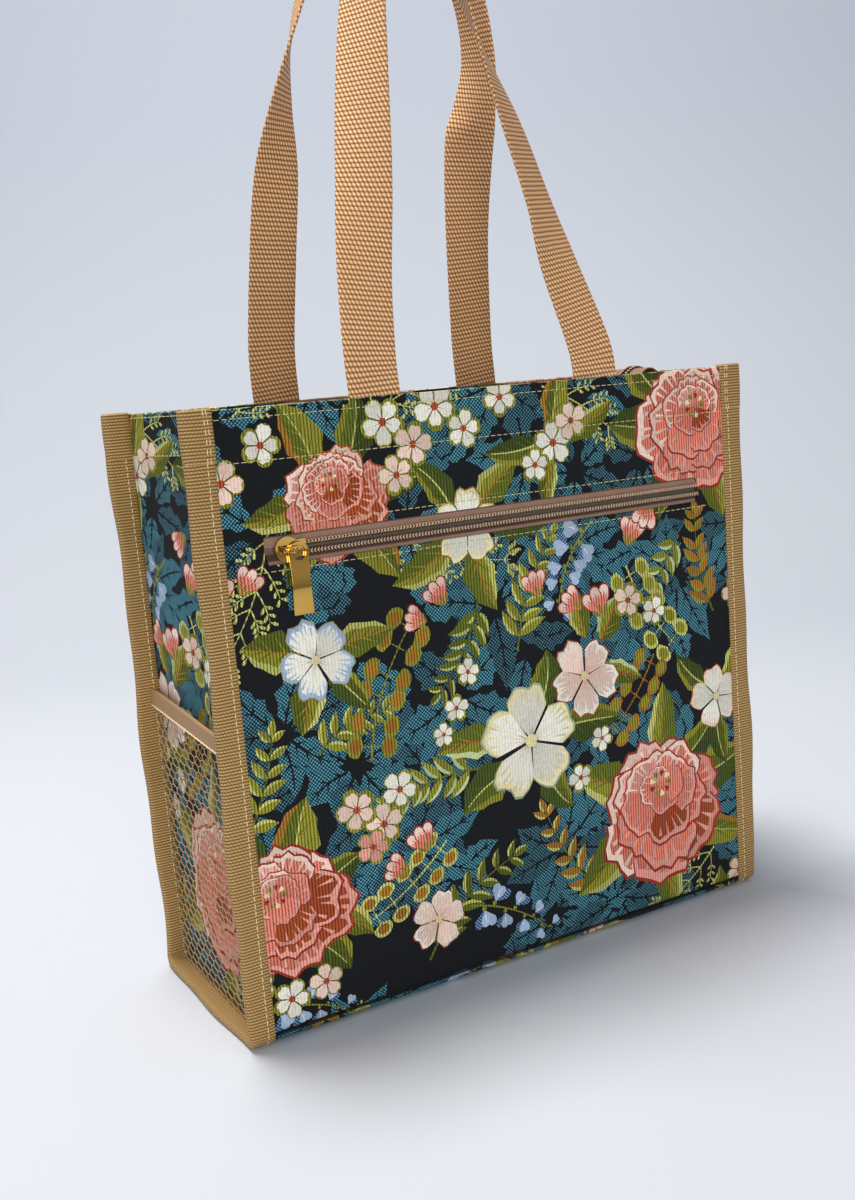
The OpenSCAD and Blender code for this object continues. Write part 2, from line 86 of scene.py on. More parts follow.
# Body: half width, faces, rim, bound side seams and rolled base
HALF_W = 175.0
FACE_Y = 71.0
RIM_Z = 355.0
FLANGE_X = 190.0
SEAM_HALF_D = 72.0
SEAM_STACK = 5.2
CORNER_R = 9.0
TAB_Z = 328.0
BASE_R = 8.0
BASE_SEAM_Z = 6.0
BASE_LIP = 2.5
# Painted shade: past this distance in front of its middle, the base cloth is darkened almost to black along
# its seam with the front panel
SEAM_SHADE_V = 73.0

# Cloth: half widths of the cut sheets, turned-in edges, pleats, facings and lining
PANEL_HALF = 186.0
GUSSET_HALF = 69.0
FOLD_R = 0.72
TURN_Z = RIM_Z - FOLD_R
HEM_H = 18.0
PLEAT_Z = 12.0
PLEAT_DEPTH = 14.0
PLEAT_Y = 66.8
FACING_Y = 66.15
FACING_X = HALF_W - 3.15
FACING_H = 27.0
FACING_DROP = 0.4
LINING_HALF_W = 172.4
LINING_HALF_D = 65.6
LINING_Z = 3.4

# Sewing: rows on the panels and the gussets
RIM_ROWS = (349.6, 326.5)
SIDE_ROWS = (352.4, 329.5)
STITCH_PITCH = 4.3
STITCH_OUT = 0.12
BOLD_PITCH = 5.0
UP = (0, 0, 1)
ACROSS = (1, 0, 0)

# Zips: the pocket's slit, tapes, coils, and the closed tail of the top zip
SLIT_HALF_W = 152.0
SLIT_HALF_H = 8.5
ZIP_Z = 278.0
ZIP_Y = 69.4
TAPE_W = 15.0
TAPE_T = 0.78
TAPE_GAP = 1.4
TAPE_END_X = 155.5
COIL_W = 4.1
COIL_X1 = -141.5
COIL_X2 = 150.0
TOOTH_PITCH = 2.05
TAIL_Y = 30.0
TAIL_Z = 346.0
TAIL_ARCH = 12.0
TAIL_X1 = 78.0
TAIL_ARCH_X1 = 117.0
TAIL_X2 = 157.3
RIM_TAPE_Y = 65.2
RIM_TAPE_Z = 347.0

# Side nets and handles
NET_X = 180.0
NET_BACK_Z = 184.0
NET_FRONT_Z = 175.0
NET_BAND_H = 11.0
NET_BAND_T = 2.5
NET_PITCH = 10.0
NET_CELL_R = 3.2
STRAND_R = 0.33
KNOTS_PER_MM = 20
HANDLE_W = 32.0
HANDLE_T = 1.7
HANDLE_SPREAD = 152.0
HANDLE_Y = 68.55
HANDLE_FOOT = 20.0
FRONT_RISE = 306.0
BACK_RISE = 296.0

# Camera fitted to the photograph: yaw, pitch and roll in degrees, its place, and lens and height in pixels
CAMERA_TURNS = (29.134, 9.857, -4.549)
CAMERA_AT = (-409.93, -708.76, 363.83)
CAMERA_LENS_PX = 1287.37
PHOTO_H_PX = 1200


def linear(code):
    """Linear colour values of a hex colour."""
    values = [int(code[i:i + 2], 16) / 255 for i in (1, 3, 5)]
    return [v / 12.92 if v <= 0.04045 else ((v + 0.055) / 1.055) ** 2.4 for v in values]


def add_node(tree, kind, settings, inputs):
    """Adds a node: its settings first, then the values or links of its sockets."""
    node = tree.nodes.new(kind)
    for key, value in (settings or {}).items():
        setattr(node, key, value)
    for key, value in (inputs or {}).items():
        if isinstance(value, bpy.types.NodeSocket):
            tree.links.new(value, node.inputs[key])
        else:
            node.inputs[key].default_value = value
    return node


def sum_of(operation, turned=False):
    """A method that adds a Math node; when turned, the wire is the second value."""
    def method(self, other):
        values = (other, self) if turned else (self, other)
        return self.dye.math(operation, *values)
    return method


class Wire:
    """A shader socket that takes part in Python sums; each sum adds a Math node."""

    def __init__(self, dye, socket):
        self.dye = dye
        self.socket = socket

    __add__ = sum_of("ADD")
    __radd__ = sum_of("ADD", True)
    __sub__ = sum_of("SUBTRACT")
    __rsub__ = sum_of("SUBTRACT", True)
    __mul__ = sum_of("MULTIPLY")
    __rmul__ = sum_of("MULTIPLY", True)
    __truediv__ = sum_of("DIVIDE")
    __mod__ = sum_of("FLOORED_MODULO")


class Dye:
    """One material, or the world, while it is mixed."""

    def __init__(self, name, owner=None):
        self.owner = owner or bpy.data.materials.new(name)
        self.owner.use_nodes = True
        self.tree = self.owner.node_tree
        self.tree.nodes.clear()

    def node(self, kind, settings=None, inputs=None, out=0):
        """Adds a node and returns a wire from one of its outputs."""
        inputs = {key: getattr(value, "socket", value) for key, value in (inputs or {}).items()}
        node = add_node(self.tree, kind, settings, inputs)
        return Wire(self, node.outputs[out]) if node.outputs else None

    def math(self, operation, *values):
        return self.node("ShaderNodeMath", {"operation": operation}, dict(enumerate(values)))

    def wave(self, place, period):
        return 0.5 + 0.5 * self.math("SINE", place * (2 * math.pi / period))

    def soft_step(self, value, low, high):
        return self.node(
            "ShaderNodeMapRange", {"interpolation_type": "SMOOTHSTEP"},
            {"Value": value, "From Min": low, "From Max": high},
        )

    def mix(self, share, first, second):
        settings = {"data_type": "RGBA"}
        return self.node("ShaderNodeMix", settings, {0: share, 6: first, 7: second}, 2)

    def colour(self, code):
        return (*linear(code), 1.0)

    def uv(self, name):
        """Two wires with a UV map's places in millimetres."""
        spot = self.node("ShaderNodeUVMap", {"uv_map": name})
        return self.split(spot, 0) / MM, self.split(spot, 1) / MM

    def split(self, vector, axis):
        return self.node("ShaderNodeSeparateXYZ", None, {0: vector}, axis)

    def height(self, kind="Object"):
        """How high a spot lies, or how far up a ray looks."""
        return self.split(self.node("ShaderNodeTexCoord", None, None, kind), 2)

    def noise(self, scale, detail=2.0):
        spot = self.node("ShaderNodeTexCoord", None, None, "Object")
        inputs = {"Vector": spot, "Scale": scale, "Detail": detail}
        return self.node("ShaderNodeTexNoise", None, inputs, 0)

    def finish(self, colour, roughness, height=None, depth_mm=0.1, strength=0.6, **constants):
        """Joins everything in one Principled shader and returns the material."""
        inputs = {"Base Color": colour, "Roughness": roughness}
        inputs.update({key.replace("_", " "): value for key, value in constants.items()})
        if height is not None:
            bump = {"Strength": strength, "Distance": depth_mm * MM, "Height": height}
            inputs["Normal"] = self.node("ShaderNodeBump", None, bump)
        shader = self.node("ShaderNodeBsdfPrincipled", None, inputs)
        self.node("ShaderNodeOutputMaterial", None, {"Surface": shader})
        return self.owner


def tapestry_finish():
    """Jacquard: each ink has its own weave of dots, columns or long floats over a black ground."""
    dye = Dye("tapestry")
    u, v = dye.uv("cloth")
    from_fold = dye.math("ABSOLUTE", v - (RIM_Z + 0.4))
    # tuck is painted shade: the base cloth's front edge, at its seam with the front panel, is mixed almost
    # to black
    tuck = 1.0 - dye.soft_step(v, -SEAM_SHADE_V - 0.5, -SEAM_SHADE_V + 1.3)
    wander = dye.noise(160.0)
    u = u + (wander - 0.5) * 0.7
    v = v + (wander - 0.5) * 0.6
    thread = dye.node("ShaderNodeAttribute", {"attribute_name": "thread"}, None, "Color")
    kinds = dye.node("ShaderNodeAttribute", {"attribute_name": "weave"}, None, "Vector")
    dotted, lined, floated = (dye.split(kinds, i) for i in range(3))
    plain = 1.0 - dotted - lined - floated
    checks = dye.wave(u + v, 2.3) * dye.wave(u - v, 2.3)
    dots = dye.soft_step(checks, 0.03, 0.4)
    columns = dye.soft_step(dye.wave(u + 0.4 * dye.wave(v, 1.9), 1.95), 0.05, 0.6)
    floats = 0.55 * dye.wave(v + 0.3 * dye.wave(u, 2.0), 1.15) + 0.45 * dye.wave(u, 2.0)
    twill = dye.wave(u + 1.2 * v, 1.7)
    cover = 1.0 - dotted * (1.0 - dots) * 0.92 - lined * (1.0 - columns) * 0.74
    cover = cover - floated * (1.0 - floats) * 0.34 - plain * (1.0 - twill) * 0.7
    cover = cover * (0.8 + 0.4 * dye.noise(420.0, 1.0))
    colour = dye.mix(cover, dye.colour("#080a0c"), thread)
    # Painted highlight: the crowns of the dotted threads are lightened towards pale cyan
    thread_highlight = dotted * dye.soft_step(checks, 0.3, 0.9)
    colour = dye.mix(thread_highlight * 0.3, colour, dye.colour("#9fd6e2"))
    worn = (1.0 - dye.soft_step(from_fold, 0.2, 1.2)) * dye.soft_step(dye.noise(260.0), 0.42, 0.6)
    colour = dye.mix(worn * 0.7, colour, dye.colour("#d9d29a"))
    colour = dye.mix(tuck * 0.92, colour, dye.colour("#050607"))
    height = cover + 0.5 * lined + 0.7 * floated + 0.25 * dotted
    return dye.finish(
        colour, 0.88 - 0.2 * floated, height, 0.3, 0.7,
        Specular_IOR_Level=0.22, Sheen_Weight=0.03, Sheen_Roughness=0.5,
    )


def webbing_finish(name, inks, row, loop, ribbed=0.0, slant=0.45):
    """Woven strap: rows of loops, each half a loop on; a ribbed tape shows its rows more than its loops."""
    dye = Dye(name)
    u, v = dye.uv("tape")
    wander = dye.noise(90.0)
    line = (v + (wander - 0.5) * 0.5) / row
    odd = dye.math("FLOOR", line) % 2.0
    along = line % 1.0
    across = (u / loop + odd * 0.5 + along * slant) % 1.0
    side = dye.math("ABSOLUTE", across - 0.5) * 2.0
    end = dye.math("ABSOLUTE", along - 0.5) * 2.0
    side = side * (1.0 - ribbed)
    crown = dye.soft_step(1.0 - side * side * 0.75 - end * end * 0.85, 0.05, 0.85)
    glint = dye.soft_step(1.0 - side * 1.3 - end * 1.2, 0.1, 0.75)
    tone = dye.noise(35.0)
    # light is a painted highlight colour that glint lays on the loops' crowns; dark is a painted shade
    # colour that fills the hollows between loops
    light, mid, dark = (dye.colour(ink) for ink in inks)
    colour = dye.mix(crown, dark, mid)
    colour = dye.mix(glint * (0.45 + 0.8 * tone), colour, light)
    return dye.finish(colour, 0.66 - 0.14 * crown, crown, 0.4, 0.85, Specular_IOR_Level=0.35)


def zip_tape_finish(name, shade_to):
    """Twill tape; the part up to shade_to from its upper edge lies in the shade of what stands over it."""
    dye = Dye(name)
    u, v = dye.uv("tape")
    twill = dye.wave(v + 0.8 * u, 1.5)
    tone = dye.noise(60.0)
    colour = dye.mix(twill * 0.7 + tone * 0.3, dye.colour("#6b5143"), dye.colour("#b8937d"))
    shade = 1.0 - dye.soft_step(u, shade_to - 1.1, shade_to + 0.3)
    colour = dye.mix(shade * 0.85, colour, dye.colour("#1c130d"))
    return dye.finish(colour, 0.8, twill, 0.15, 0.6, Specular_IOR_Level=0.3)


def lining_finish():
    dye = Dye("lining")
    u, v = dye.uv("tape")
    weave = dye.wave(u, 0.9) * dye.wave(v, 0.9)
    tone = dye.noise(12.0, 4.0)
    colour = dye.mix(weave * 0.4 + tone * 0.6, dye.colour("#6d5d4b"), dye.colour("#94826a"))
    return dye.finish(colour, 0.85, weave, 0.08, 0.4)


def thread_finish(name, light, dark):
    """Sewing thread with the twist of its plies."""
    dye = Dye(name)
    tone = dye.noise(900.0, 1.0)
    colour = dye.mix(tone, dye.colour(dark), dye.colour(light))
    return dye.finish(colour, 0.6, tone, 0.08, 0.4, Sheen_Weight=0.15)


def coil_finish():
    dye = Dye("coil")
    tone = dye.noise(500.0)
    colour = dye.mix(tone, dye.colour("#0d0806"), dye.colour("#2b1e14"))
    return dye.finish(colour, 0.16 + 0.1 * tone, None, Specular_IOR_Level=0.6)


def gold_finish():
    dye = Dye("gold")
    smear = dye.noise(30.0, 1.0)
    colour = dye.mix(smear, dye.colour("#cc983f"), dye.colour("#ecc670"))
    dish = dye.wave(dye.height() / MM + 4.0, 36.0)
    return dye.finish(colour, 0.06 + 0.05 * smear, dish, 1.2, 1.0, Metallic=1.0)


TAPESTRY = tapestry_finish()
# Each strap's three colours: painted highlight, the strap's own colour, painted shade
WEBBING = webbing_finish("webbing", ("#ffe3ba", "#efb882", "#8c5b2c"), 2.8, 2.4)
BINDING = webbing_finish("binding", ("#cdab72", "#a07c46", "#684b20"), 1.8, 2.0, 0.55, 0.2)
NET_BAND = webbing_finish("net_band", ("#c9a67e", "#aa825a", "#7a5836"), 1.5, 1.6, 0.6, 0.2)
ZIP_TAPE = zip_tape_finish("zip_tape", -2.0)
LINING = lining_finish()
CREAM_THREAD = thread_finish("cream_thread", "#e6d9a6", "#bba971")
TAN_THREAD = thread_finish("tan_thread", "#fbeabb", "#d9bd84")
ZIP_THREAD = thread_finish("zip_thread", "#f0cba6", "#b08560")
NET = thread_finish("net", "#c4a676", "#8a6d44")
COIL = coil_finish()
GOLD = gold_finish()


def new_piece(name, mesh, material):
    """An object at the origin with one material, smooth except along creases."""
    piece = bpy.data.objects.new(name, mesh)
    bpy.context.scene.collection.objects.link(piece)
    mesh.materials.clear()
    mesh.materials.append(material)
    mesh.polygons.foreach_set("use_smooth", [True] * len(mesh.polygons))
    mesh.set_sharp_from_angle(angle=math.radians(50))
    return piece


def place(piece, slot, *nodes, body="bag"):
    """Lets a finished piece ride on its body and stand for its CAD nodes."""
    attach(piece, body)
    if nodes:
        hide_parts(*nodes)
    return piece


def mesh_from(name, points, faces):
    mesh = bpy.data.meshes.new(name)
    mesh.from_pydata([tuple(p) for p in np.asarray(points) * MM], [], faces)
    return mesh


def set_uv(mesh, name, values):
    """Stores one place per face corner, in millimetres, as a UV map in metres."""
    layer = mesh.uv_layers.new(name=name)
    layer.data.foreach_set("uv", (np.asarray(values, float) * MM).ravel().astype(np.float32))


def wall_of(rings, across, along):
    """Quads between closed rings with a UV place per corner: across the ring, along the path."""
    count, around = rings.shape[:2]
    faces = []
    uvs = []
    for i in range(count - 1):
        for k in range(around):
            n = (k + 1) % around
            faces.append((i * around + k, i * around + n, (i + 1) * around + n, (i + 1) * around + k))
            uvs += [
                (across[k], along[i]), (across[k + 1], along[i]),
                (across[k + 1], along[i + 1]), (across[k], along[i + 1]),
            ]
    return faces, uvs


def skin(name, rings, across, along, material):
    """Closed rings along a path become a capped tube with a woven UV map."""
    count, around = rings.shape[:2]
    faces, uvs = wall_of(rings, across, along)
    for i in (0, count - 1):
        faces.append(tuple(i * around + k for k in range(around)))
        uvs += [(across[k], along[i]) for k in range(around)]
    mesh = mesh_from(name, rings.reshape(-1, 3), faces)
    set_uv(mesh, "tape", uvs)
    work = bmesh.new()
    work.from_mesh(mesh)
    bmesh.ops.recalc_face_normals(work, faces=work.faces)
    work.to_mesh(mesh)
    work.free()
    return new_piece(name, mesh, material)


def lengths_along(points):
    steps = np.linalg.norm(np.diff(np.asarray(points, float), axis=0), axis=1)
    return np.concatenate([[0], np.cumsum(steps)])


def smooth(points, steps):
    """A smooth curve through given points."""
    points = [np.array(p, float) for p in points]
    out = []
    for i in range(len(points) - 1):
        a, b = points[max(i - 1, 0)], points[i]
        c, d = points[i + 1], points[min(i + 2, len(points) - 1)]
        for k in range(steps):
            s = k / steps
            out.append(0.5 * (
                2 * b + (c - a) * s + (2 * a - 5 * b + 4 * c - d) * s * s
                + (3 * b - a - 3 * c + d) * s ** 3
            ))
    out.append(points[-1])
    return np.array(out)


# The cloth's design: one repeat, drawn as polygons of complex numbers, later ones on top.

REPEAT_W = 396.0
REPEAT_H = 376.0

# Ink: colour, then its share of dotted, lined and floated weave
INKS = {
    "ground": ("#15181d", 0, 0, 0),
    "teal": ("#4490a5", 1, 0, 0),
    "deep_teal": ("#2c6578", 1, 0, 0),
    "olive": ("#98962f", 0, 1, 0),
    "deep_olive": ("#66701f", 0, 1, 0),
    "pine": ("#46561c", 0, 1, 0),
    "lime": ("#cfcf74", 0, 1, 0),
    "mint": ("#c3d49a", 0, 0, 1),
    "ochre": ("#b07a28", 0, 1, 0),
    "rust": ("#b8532a", 0, 1, 0),
    "brick": ("#b23c2c", 0, 1, 0),
    "coral": ("#f18a74", 0, 1, 0),
    "rose": ("#f4a898", 0, 0.6, 0.4),
    "blush": ("#f8d9c8", 0, 0, 1),
    "cream": ("#f4f1e2", 0, 0, 1),
    "straw": ("#f1e6ae", 0, 0, 1),
    "sage": ("#a9b39b", 0, 0, 1),
    "sky": ("#adc4e2", 0, 0, 1),
    "blue": ("#739ac9", 1, 0, 0),
}


class Design:
    """The polygons of one repeat."""

    def __init__(self, seed):
        self.shapes = []
        self.rng = random.Random(seed)

    def add(self, ink, points):
        """Each shape takes one of three dye lots, so neighbours of one ink differ a little."""
        self.shapes.append((ink, self.rng.choice((0.86, 1.0, 1.12)), points))

    def put(self, ink, shape, at, size, turn):
        spin = size * cmath.rect(1, turn)
        self.add(ink, [at + spin * p for p in shape])

    def vary(self, value, share):
        return value * (1 + self.rng.uniform(-share, share))


def fan(spread, droop=0.25, ruffle=0.0, waves=4, phase=0.0, notch=0.0, steps=10):
    """A petal of unit length along +x that opens by spread to each side."""
    edge = []
    for i in range(steps + 1):
        a = 2 * i / steps - 1
        r = 1 - droop * abs(a) ** 2.4 + ruffle * math.sin(waves * math.pi * a + phase)
        r -= notch * math.exp(-(a / 0.22) ** 2)
        edge.append(cmath.rect(r, a * spread))
    return [0.04 + 0j] + edge


def ragged_tip(edge, depth):
    """The outer part of a petal, with a toothed inner border like shaded threads."""
    rim = edge[2:-1]
    inner = [p * (1 - depth * (0.45 if i % 2 else 1.0)) for i, p in enumerate(rim)]
    return rim + inner[::-1]


def wedge(r0, r1, angle, half):
    return [cmath.rect(r0, angle - half), cmath.rect(r1, angle), cmath.rect(r0, angle + half)]


def petal(d, at, size, turn, spread, inks, droop=0.3, ruffle=0.04, notch=0.0, veins=4, margin=0.1):
    """A petal with a pale margin, pale streaks running in from it and dark streaks from its foot."""
    body, edge, vein, shade = inks
    outline = fan(spread, droop, ruffle, d.rng.choice((2, 3, 4)), d.rng.uniform(0, 6.28), notch, 9)
    d.put(shade, [p * 1.045 for p in outline], at, size, turn)
    d.put(edge, outline, at, size, turn)
    d.put(body, [p * d.vary(1 - margin, 0.04) for p in outline], at, size, turn)
    for i in range(veins):
        a = (2 * (i + 0.5) / veins - 1) * spread * 0.82 + d.rng.uniform(-0.05, 0.05)
        reach = 1 - droop * abs(a / spread) ** 2.4 - margin
        d.put(vein, wedge(0.1, d.vary(0.58, 0.3) * reach, a, 0.05), at, size, turn)
        streak = wedge(reach, d.vary(0.68, 0.15) * reach, a + 0.4 * spread / veins, 0.035)
        d.put(edge, streak, at, size, turn)


def peony(d, at, size, turn=0.0, lean=1.6, shade="brick"):
    """A full flower seen from one side: its heart sits off centre and near petals are the longest."""
    heart = cmath.rect(0.2 * size, lean)
    rings = ((1.0, 7, 0.6), (0.8, 6, 0.62), (0.58, 5, 0.7), (0.36, 4, 0.85))
    for k, (share, count, spread) in enumerate(rings):
        for i in range(count):
            a = turn + 0.5 * k + 2 * math.pi * (i + d.rng.uniform(-0.16, 0.16)) / count
            lit = math.cos(a - 2.2) + d.rng.uniform(-0.5, 0.5)
            body = "rose" if lit > 0.75 else "rust" if lit < -1.05 else "coral"
            tip = "blush" if lit > -0.1 else "rose"
            reach = d.vary(size * share, 0.12) * (1 - 0.16 * math.cos(a - lean))
            inks = (body, tip, "brick" if body != "rust" else "coral", shade)
            petal(d, at + heart * k / 3, reach, a, spread, inks, 0.2, 0.045, 0.04, 5, 0.09)
    for i in range(9):
        at_heart = at + heart * 1.15 + cmath.rect(0.08 * size, 0.7 * i)
        d.put(("olive", "straw", "brick")[i % 3], fan(0.5, 0.2, steps=4), at_heart, size * 0.1, 0.7 * i)


def blossom(d, at, size, turn=0.0, body="cream", tip="straw", vein="sage", shade="sage"):
    for i in range(5):
        a = turn + 2 * math.pi * (i + d.rng.uniform(-0.05, 0.05)) / 5
        petal(d, at, d.vary(size, 0.07), a, 0.6, (body, tip, vein, shade), 0.34, 0.03, 0.12, 6)
    for i in range(5):
        a = turn + 2 * math.pi * (i + 0.5) / 5
        d.put("brick", wedge(0.05, 0.42, a, 0.12), at, size, 0)
        d.put("coral", wedge(0.05, 0.3, a + 0.5, 0.14), at, size, 0)
    d.put("straw", fan(3.0, 0, steps=8)[1:], at, size * 0.12, turn)


def floret(d, at, size, turn=0.0, body="cream", heart="coral", shade="olive"):
    for i in range(5):
        d.put(shade, fan(0.62, 0.3, steps=6), at, size * 1.1, turn + 2 * math.pi * i / 5)
    for i in range(5):
        a = turn + 2 * math.pi * i / 5
        d.put(body, fan(0.55, 0.34, notch=0.1, steps=6), at, d.vary(size, 0.1), a)
        d.put(heart, wedge(0.1, 0.6, 0, 0.22), at, size, a)
    d.put("rust", fan(3.0, 0, steps=6)[1:], at, size * 0.2, 0)


def spine(start, end, bend, steps):
    middle = (start + end) / 2 + bend * (end - start) * 1j
    points = []
    for i in range(steps + 1):
        t = i / steps
        points.append((1 - t) ** 2 * start + 2 * t * (1 - t) * middle + t * t * end)
    return points


def sideways(points):
    out = []
    for i in range(len(points)):
        step = points[min(i + 1, len(points) - 1)] - points[max(i - 1, 0)]
        out.append(1j * step / abs(step))
    return out


def both_sides(back, half):
    side = sideways(back)
    left = [p + h * s for p, h, s in zip(back, half, side)]
    right = [p - h * s for p, h, s in zip(back, half, side)]
    return left, right


def stem(d, points, width, ink="olive"):
    n = len(points) - 1
    left, right = both_sides(points, [width / 2 * (1 - 0.6 * i / n) for i in range(n + 1)])
    d.add(ink, left + right[::-1])


def blade(start, end, bend, width, steps, foot, full=1.0, wobble=0.0, turn=0.0):
    """Spine and half widths of a leaf; foot and full shape its outline, wobble makes it uneven."""
    half = []
    for i in range(steps + 1):
        h = width / 2 * math.sin(math.pi * (i / steps) ** foot) ** full
        half.append(h * (1 + wobble * math.sin(turn * i)))
    return spine(start, end, bend, steps), half


def thorn(d, ink, start, tip, half):
    """A thin wedge from a wide foot to a point."""
    across = (tip - start) * 1j / abs(tip - start) * half
    d.add(ink, [start - across, tip, start + across])


def leaf(d, start, end, width, bend=0.1, rib="ochre", light="lime", main="olive", dark="deep_olive"):
    back, half = blade(start, end, bend, width, 8, 0.8, 0.85, 0.12, 2.4)
    left, right = both_sides(back, half)
    glow, _ = both_sides(back, [0.62 * h * (1 + 0.35 * math.sin(3.1 * i)) for i, h in enumerate(half)])
    d.add(dark, left + right[-2:0:-1])
    d.add(main, left + back[-2:0:-1])
    d.add(light, left[1:-1] + glow[-2:0:-1])
    for i in (1, 2, 4, 5):
        for edge, ink in ((left, dark), (right, main)):
            thorn(d, ink, back[i], 0.86 * edge[i + 2] + 0.14 * back[i + 2], 0.5)
    stem(d, back[:-1], 1.5, rib)


# Rib, light, main and dark ink of a leaf
LEAF_INKS = (
    ("ochre", "lime", "olive", "deep_olive"), ("lime", "olive", "deep_olive", "pine"),
    ("rust", "mint", "olive", "deep_olive"), ("lime", "ochre", "deep_olive", "olive"),
)


def leaf_ring(d, at, inner, length, width, turns):
    """Leaves that look out from behind a flower."""
    for turn in turns:
        reach = d.vary(length, 0.2)
        start = at + cmath.rect(inner, turn)
        end = at + cmath.rect(inner + reach, turn + d.rng.uniform(-0.25, 0.25))
        inks = LEAF_INKS[d.rng.choice((0, 0, 1, 1, 2, 3))]
        leaf(d, start, end, d.vary(width, 0.2), d.rng.uniform(-0.2, 0.2), *inks)


def leaflet(d, start, angle, length, width, main="olive", edge="lime"):
    back, half = blade(start, start + cmath.rect(length, angle), 0.1, width, 6, 0.85)
    left, right = both_sides(back, half)
    inner, _ = both_sides(back, [0.35 * h for h in half])
    d.add(main, left + right[-2:0:-1])
    d.add(edge, left[1:-1] + inner[-2:0:-1])


def stalk(d, back, width, ink, count, first, last):
    """Draws a stem and goes along it: number, place and sideways direction of each joint."""
    stem(d, back, width, ink)
    side = sideways(back)
    for k in range(count):
        i = first + round(k * (last - first) / max(count - 1, 1))
        yield k, back[i], side[i]


def spray(d, start, end, bend, pairs, length, width, main="olive", edge="lime"):
    back = spine(start, end, bend, 24)
    for k, at, side in stalk(d, back, 1.6, "deep_olive", pairs, 3, 23):
        grow = 1 - 0.45 * k / pairs
        ahead = cmath.phase(-1j * side)
        for sign in (1, -1):
            turn = ahead + sign * d.vary(0.85, 0.15)
            leaflet(d, at, turn, d.vary(length * grow, 0.12), width * grow, main, edge)
    leaflet(d, back[-1], cmath.phase(back[-1] - back[-2]), length * 0.6, width * 0.7, main, edge)


def bells(d, start, end, bend, count, size):
    for k, foot, side in stalk(d, spine(start, end, bend, 20), 1.3, "olive", count, 3, 20):
        grow = 1 - 0.5 * k / count
        sign = 1 if k % 2 else -1
        angle = cmath.phase(sign * side) - sign * 0.35
        at = foot + cmath.rect(size * 0.25, angle)
        for off, ink in ((-0.5, "blue"), (0.5, "sky"), (0, "sky")):
            d.put(ink, fan(0.38, 0.3, steps=6), at, d.vary(size * grow, 0.1), angle + off)
        d.put("cream", wedge(0.3, 0.95, 0.1, 0.1), at, size * grow, angle)
        d.put("olive", fan(0.7, 0.2, steps=4), foot, size * 0.3 * grow, angle)


def bud(d, at, angle, size):
    for off in (-0.42, 0.42, 0.0):
        d.put("brick", fan(0.3, 0.3, steps=6), at, size * 1.06, angle + off)
        d.put("coral", fan(0.27, 0.3, steps=6), at, size, angle + off)
        d.put("blush", ragged_tip(fan(0.27, 0.3, steps=8), 0.35), at, size, angle + off)
    for off in (-0.7, 0.7, 0):
        d.put("olive", fan(0.25, 0.5, steps=5), at, size * 0.45, angle + off)


def plume(d, start, end, bend, twigs, length, ink="lime"):
    for k, foot, side in stalk(d, spine(start, end, bend, 22), 1.2, ink, twigs, 2, 21):
        for sign in (1, -1):
            along = cmath.phase(-1j * side) + sign * 0.75
            reach = d.vary(length * (1 - 0.5 * k / twigs), 0.2)
            twig = spine(foot, foot + cmath.rect(reach, along), sign * 0.1, 4)
            stem(d, twig, 1.0, ink)
            for j in (2, 3, 4):
                for turn in (0.8, -0.8):
                    d.put(ink, fan(0.32, 0.4, steps=4), twig[j], length * 0.26, along + turn)


def coin_sprig(d, start, end, bend, pairs, size, main="ochre", edge="olive"):
    for _, foot, side in stalk(d, spine(start, end, bend, 20), 1.4, edge, pairs, 2, 19):
        for sign in (1, -1):
            at = foot + sign * side * size * 0.5
            stem(d, [foot, at], 1.0, edge)
            turn = cmath.phase(sign * side)
            d.put(edge, fan(1.15, 0.35, steps=9), at, size * 1.1, turn)
            d.put(main, fan(1.0, 0.35, steps=9), at + cmath.rect(size * 0.12, turn), size * 0.78, turn)
            d.put("deep_olive", wedge(0.1, 0.9, 0, 0.06), at, size, turn)


def shadow_leaf(d, start, end, width, bend, ink="teal"):
    back, half = blade(start, end, bend, width, 8, 0.75, 1.0, 0.2, 2.6)
    left, right = both_sides(back, half)
    d.add(ink, left + right[-2:0:-1])
    for i in (1, 3, 5):
        for edge in (left, right):
            thorn(d, "ground", back[i], 0.8 * edge[i + 1] + 0.2 * back[i + 2], 0.7)
    stem(d, back[:-1], 1.7, "ground")


def shadow_flower(d, at, size, turn):
    for k, (share, count, spread) in enumerate(((1.0, 7, 0.5), (0.68, 6, 0.55), (0.38, 4, 0.75))):
        for i in range(count):
            a = turn + 0.4 * k + 2 * math.pi * i / count
            shape = fan(spread, 0.3, 0.05, 3, i, 0.06, 9)
            d.put("ground", [p * 1.05 for p in shape], at, size * share, a)
            d.put("teal" if (i + k) % 3 else "deep_teal", shape, at, size * share * 0.97, a)


def shadow_bush(d, at, size, turn, count=6):
    for i in range(count):
        a = turn + 2 * math.pi * (i + d.rng.uniform(-0.2, 0.2)) / count
        start = at + cmath.rect(size * 0.15, a)
        end = at + cmath.rect(d.vary(size, 0.2), a)
        ink = "teal" if i % 3 else "deep_teal"
        shadow_leaf(d, start, end, size * 0.42, d.rng.uniform(-0.2, 0.2), ink)


def shadows(d):
    """Dark foliage behind everything, on an uneven grid."""
    for i in range(7):
        for j in range(7):
            x = (i + d.rng.uniform(0.2, 0.8)) * REPEAT_W / 7
            at = complex(x, (j + d.rng.uniform(0.2, 0.8)) * REPEAT_H / 7)
            kind = d.rng.random()
            if kind < 0.6:
                shadow_bush(d, at, d.rng.uniform(34, 48), d.rng.uniform(0, 6), d.rng.choice((4, 5, 6)))
            elif kind < 0.8:
                shadow_flower(d, at, d.rng.uniform(22, 32), d.rng.uniform(0, 6))
    for x, y, size in (
        (150, 176, 52), (82, 150, 44), (222, 66, 50), (322, 222, 46), (112, 92, 46), (182, 226, 44),
        (260, 20, 44), (40, 176, 40), (376, 110, 42), (232, 250, 40),
    ):
        shadow_bush(d, complex(x, y), size, 0.1 * x, 7)


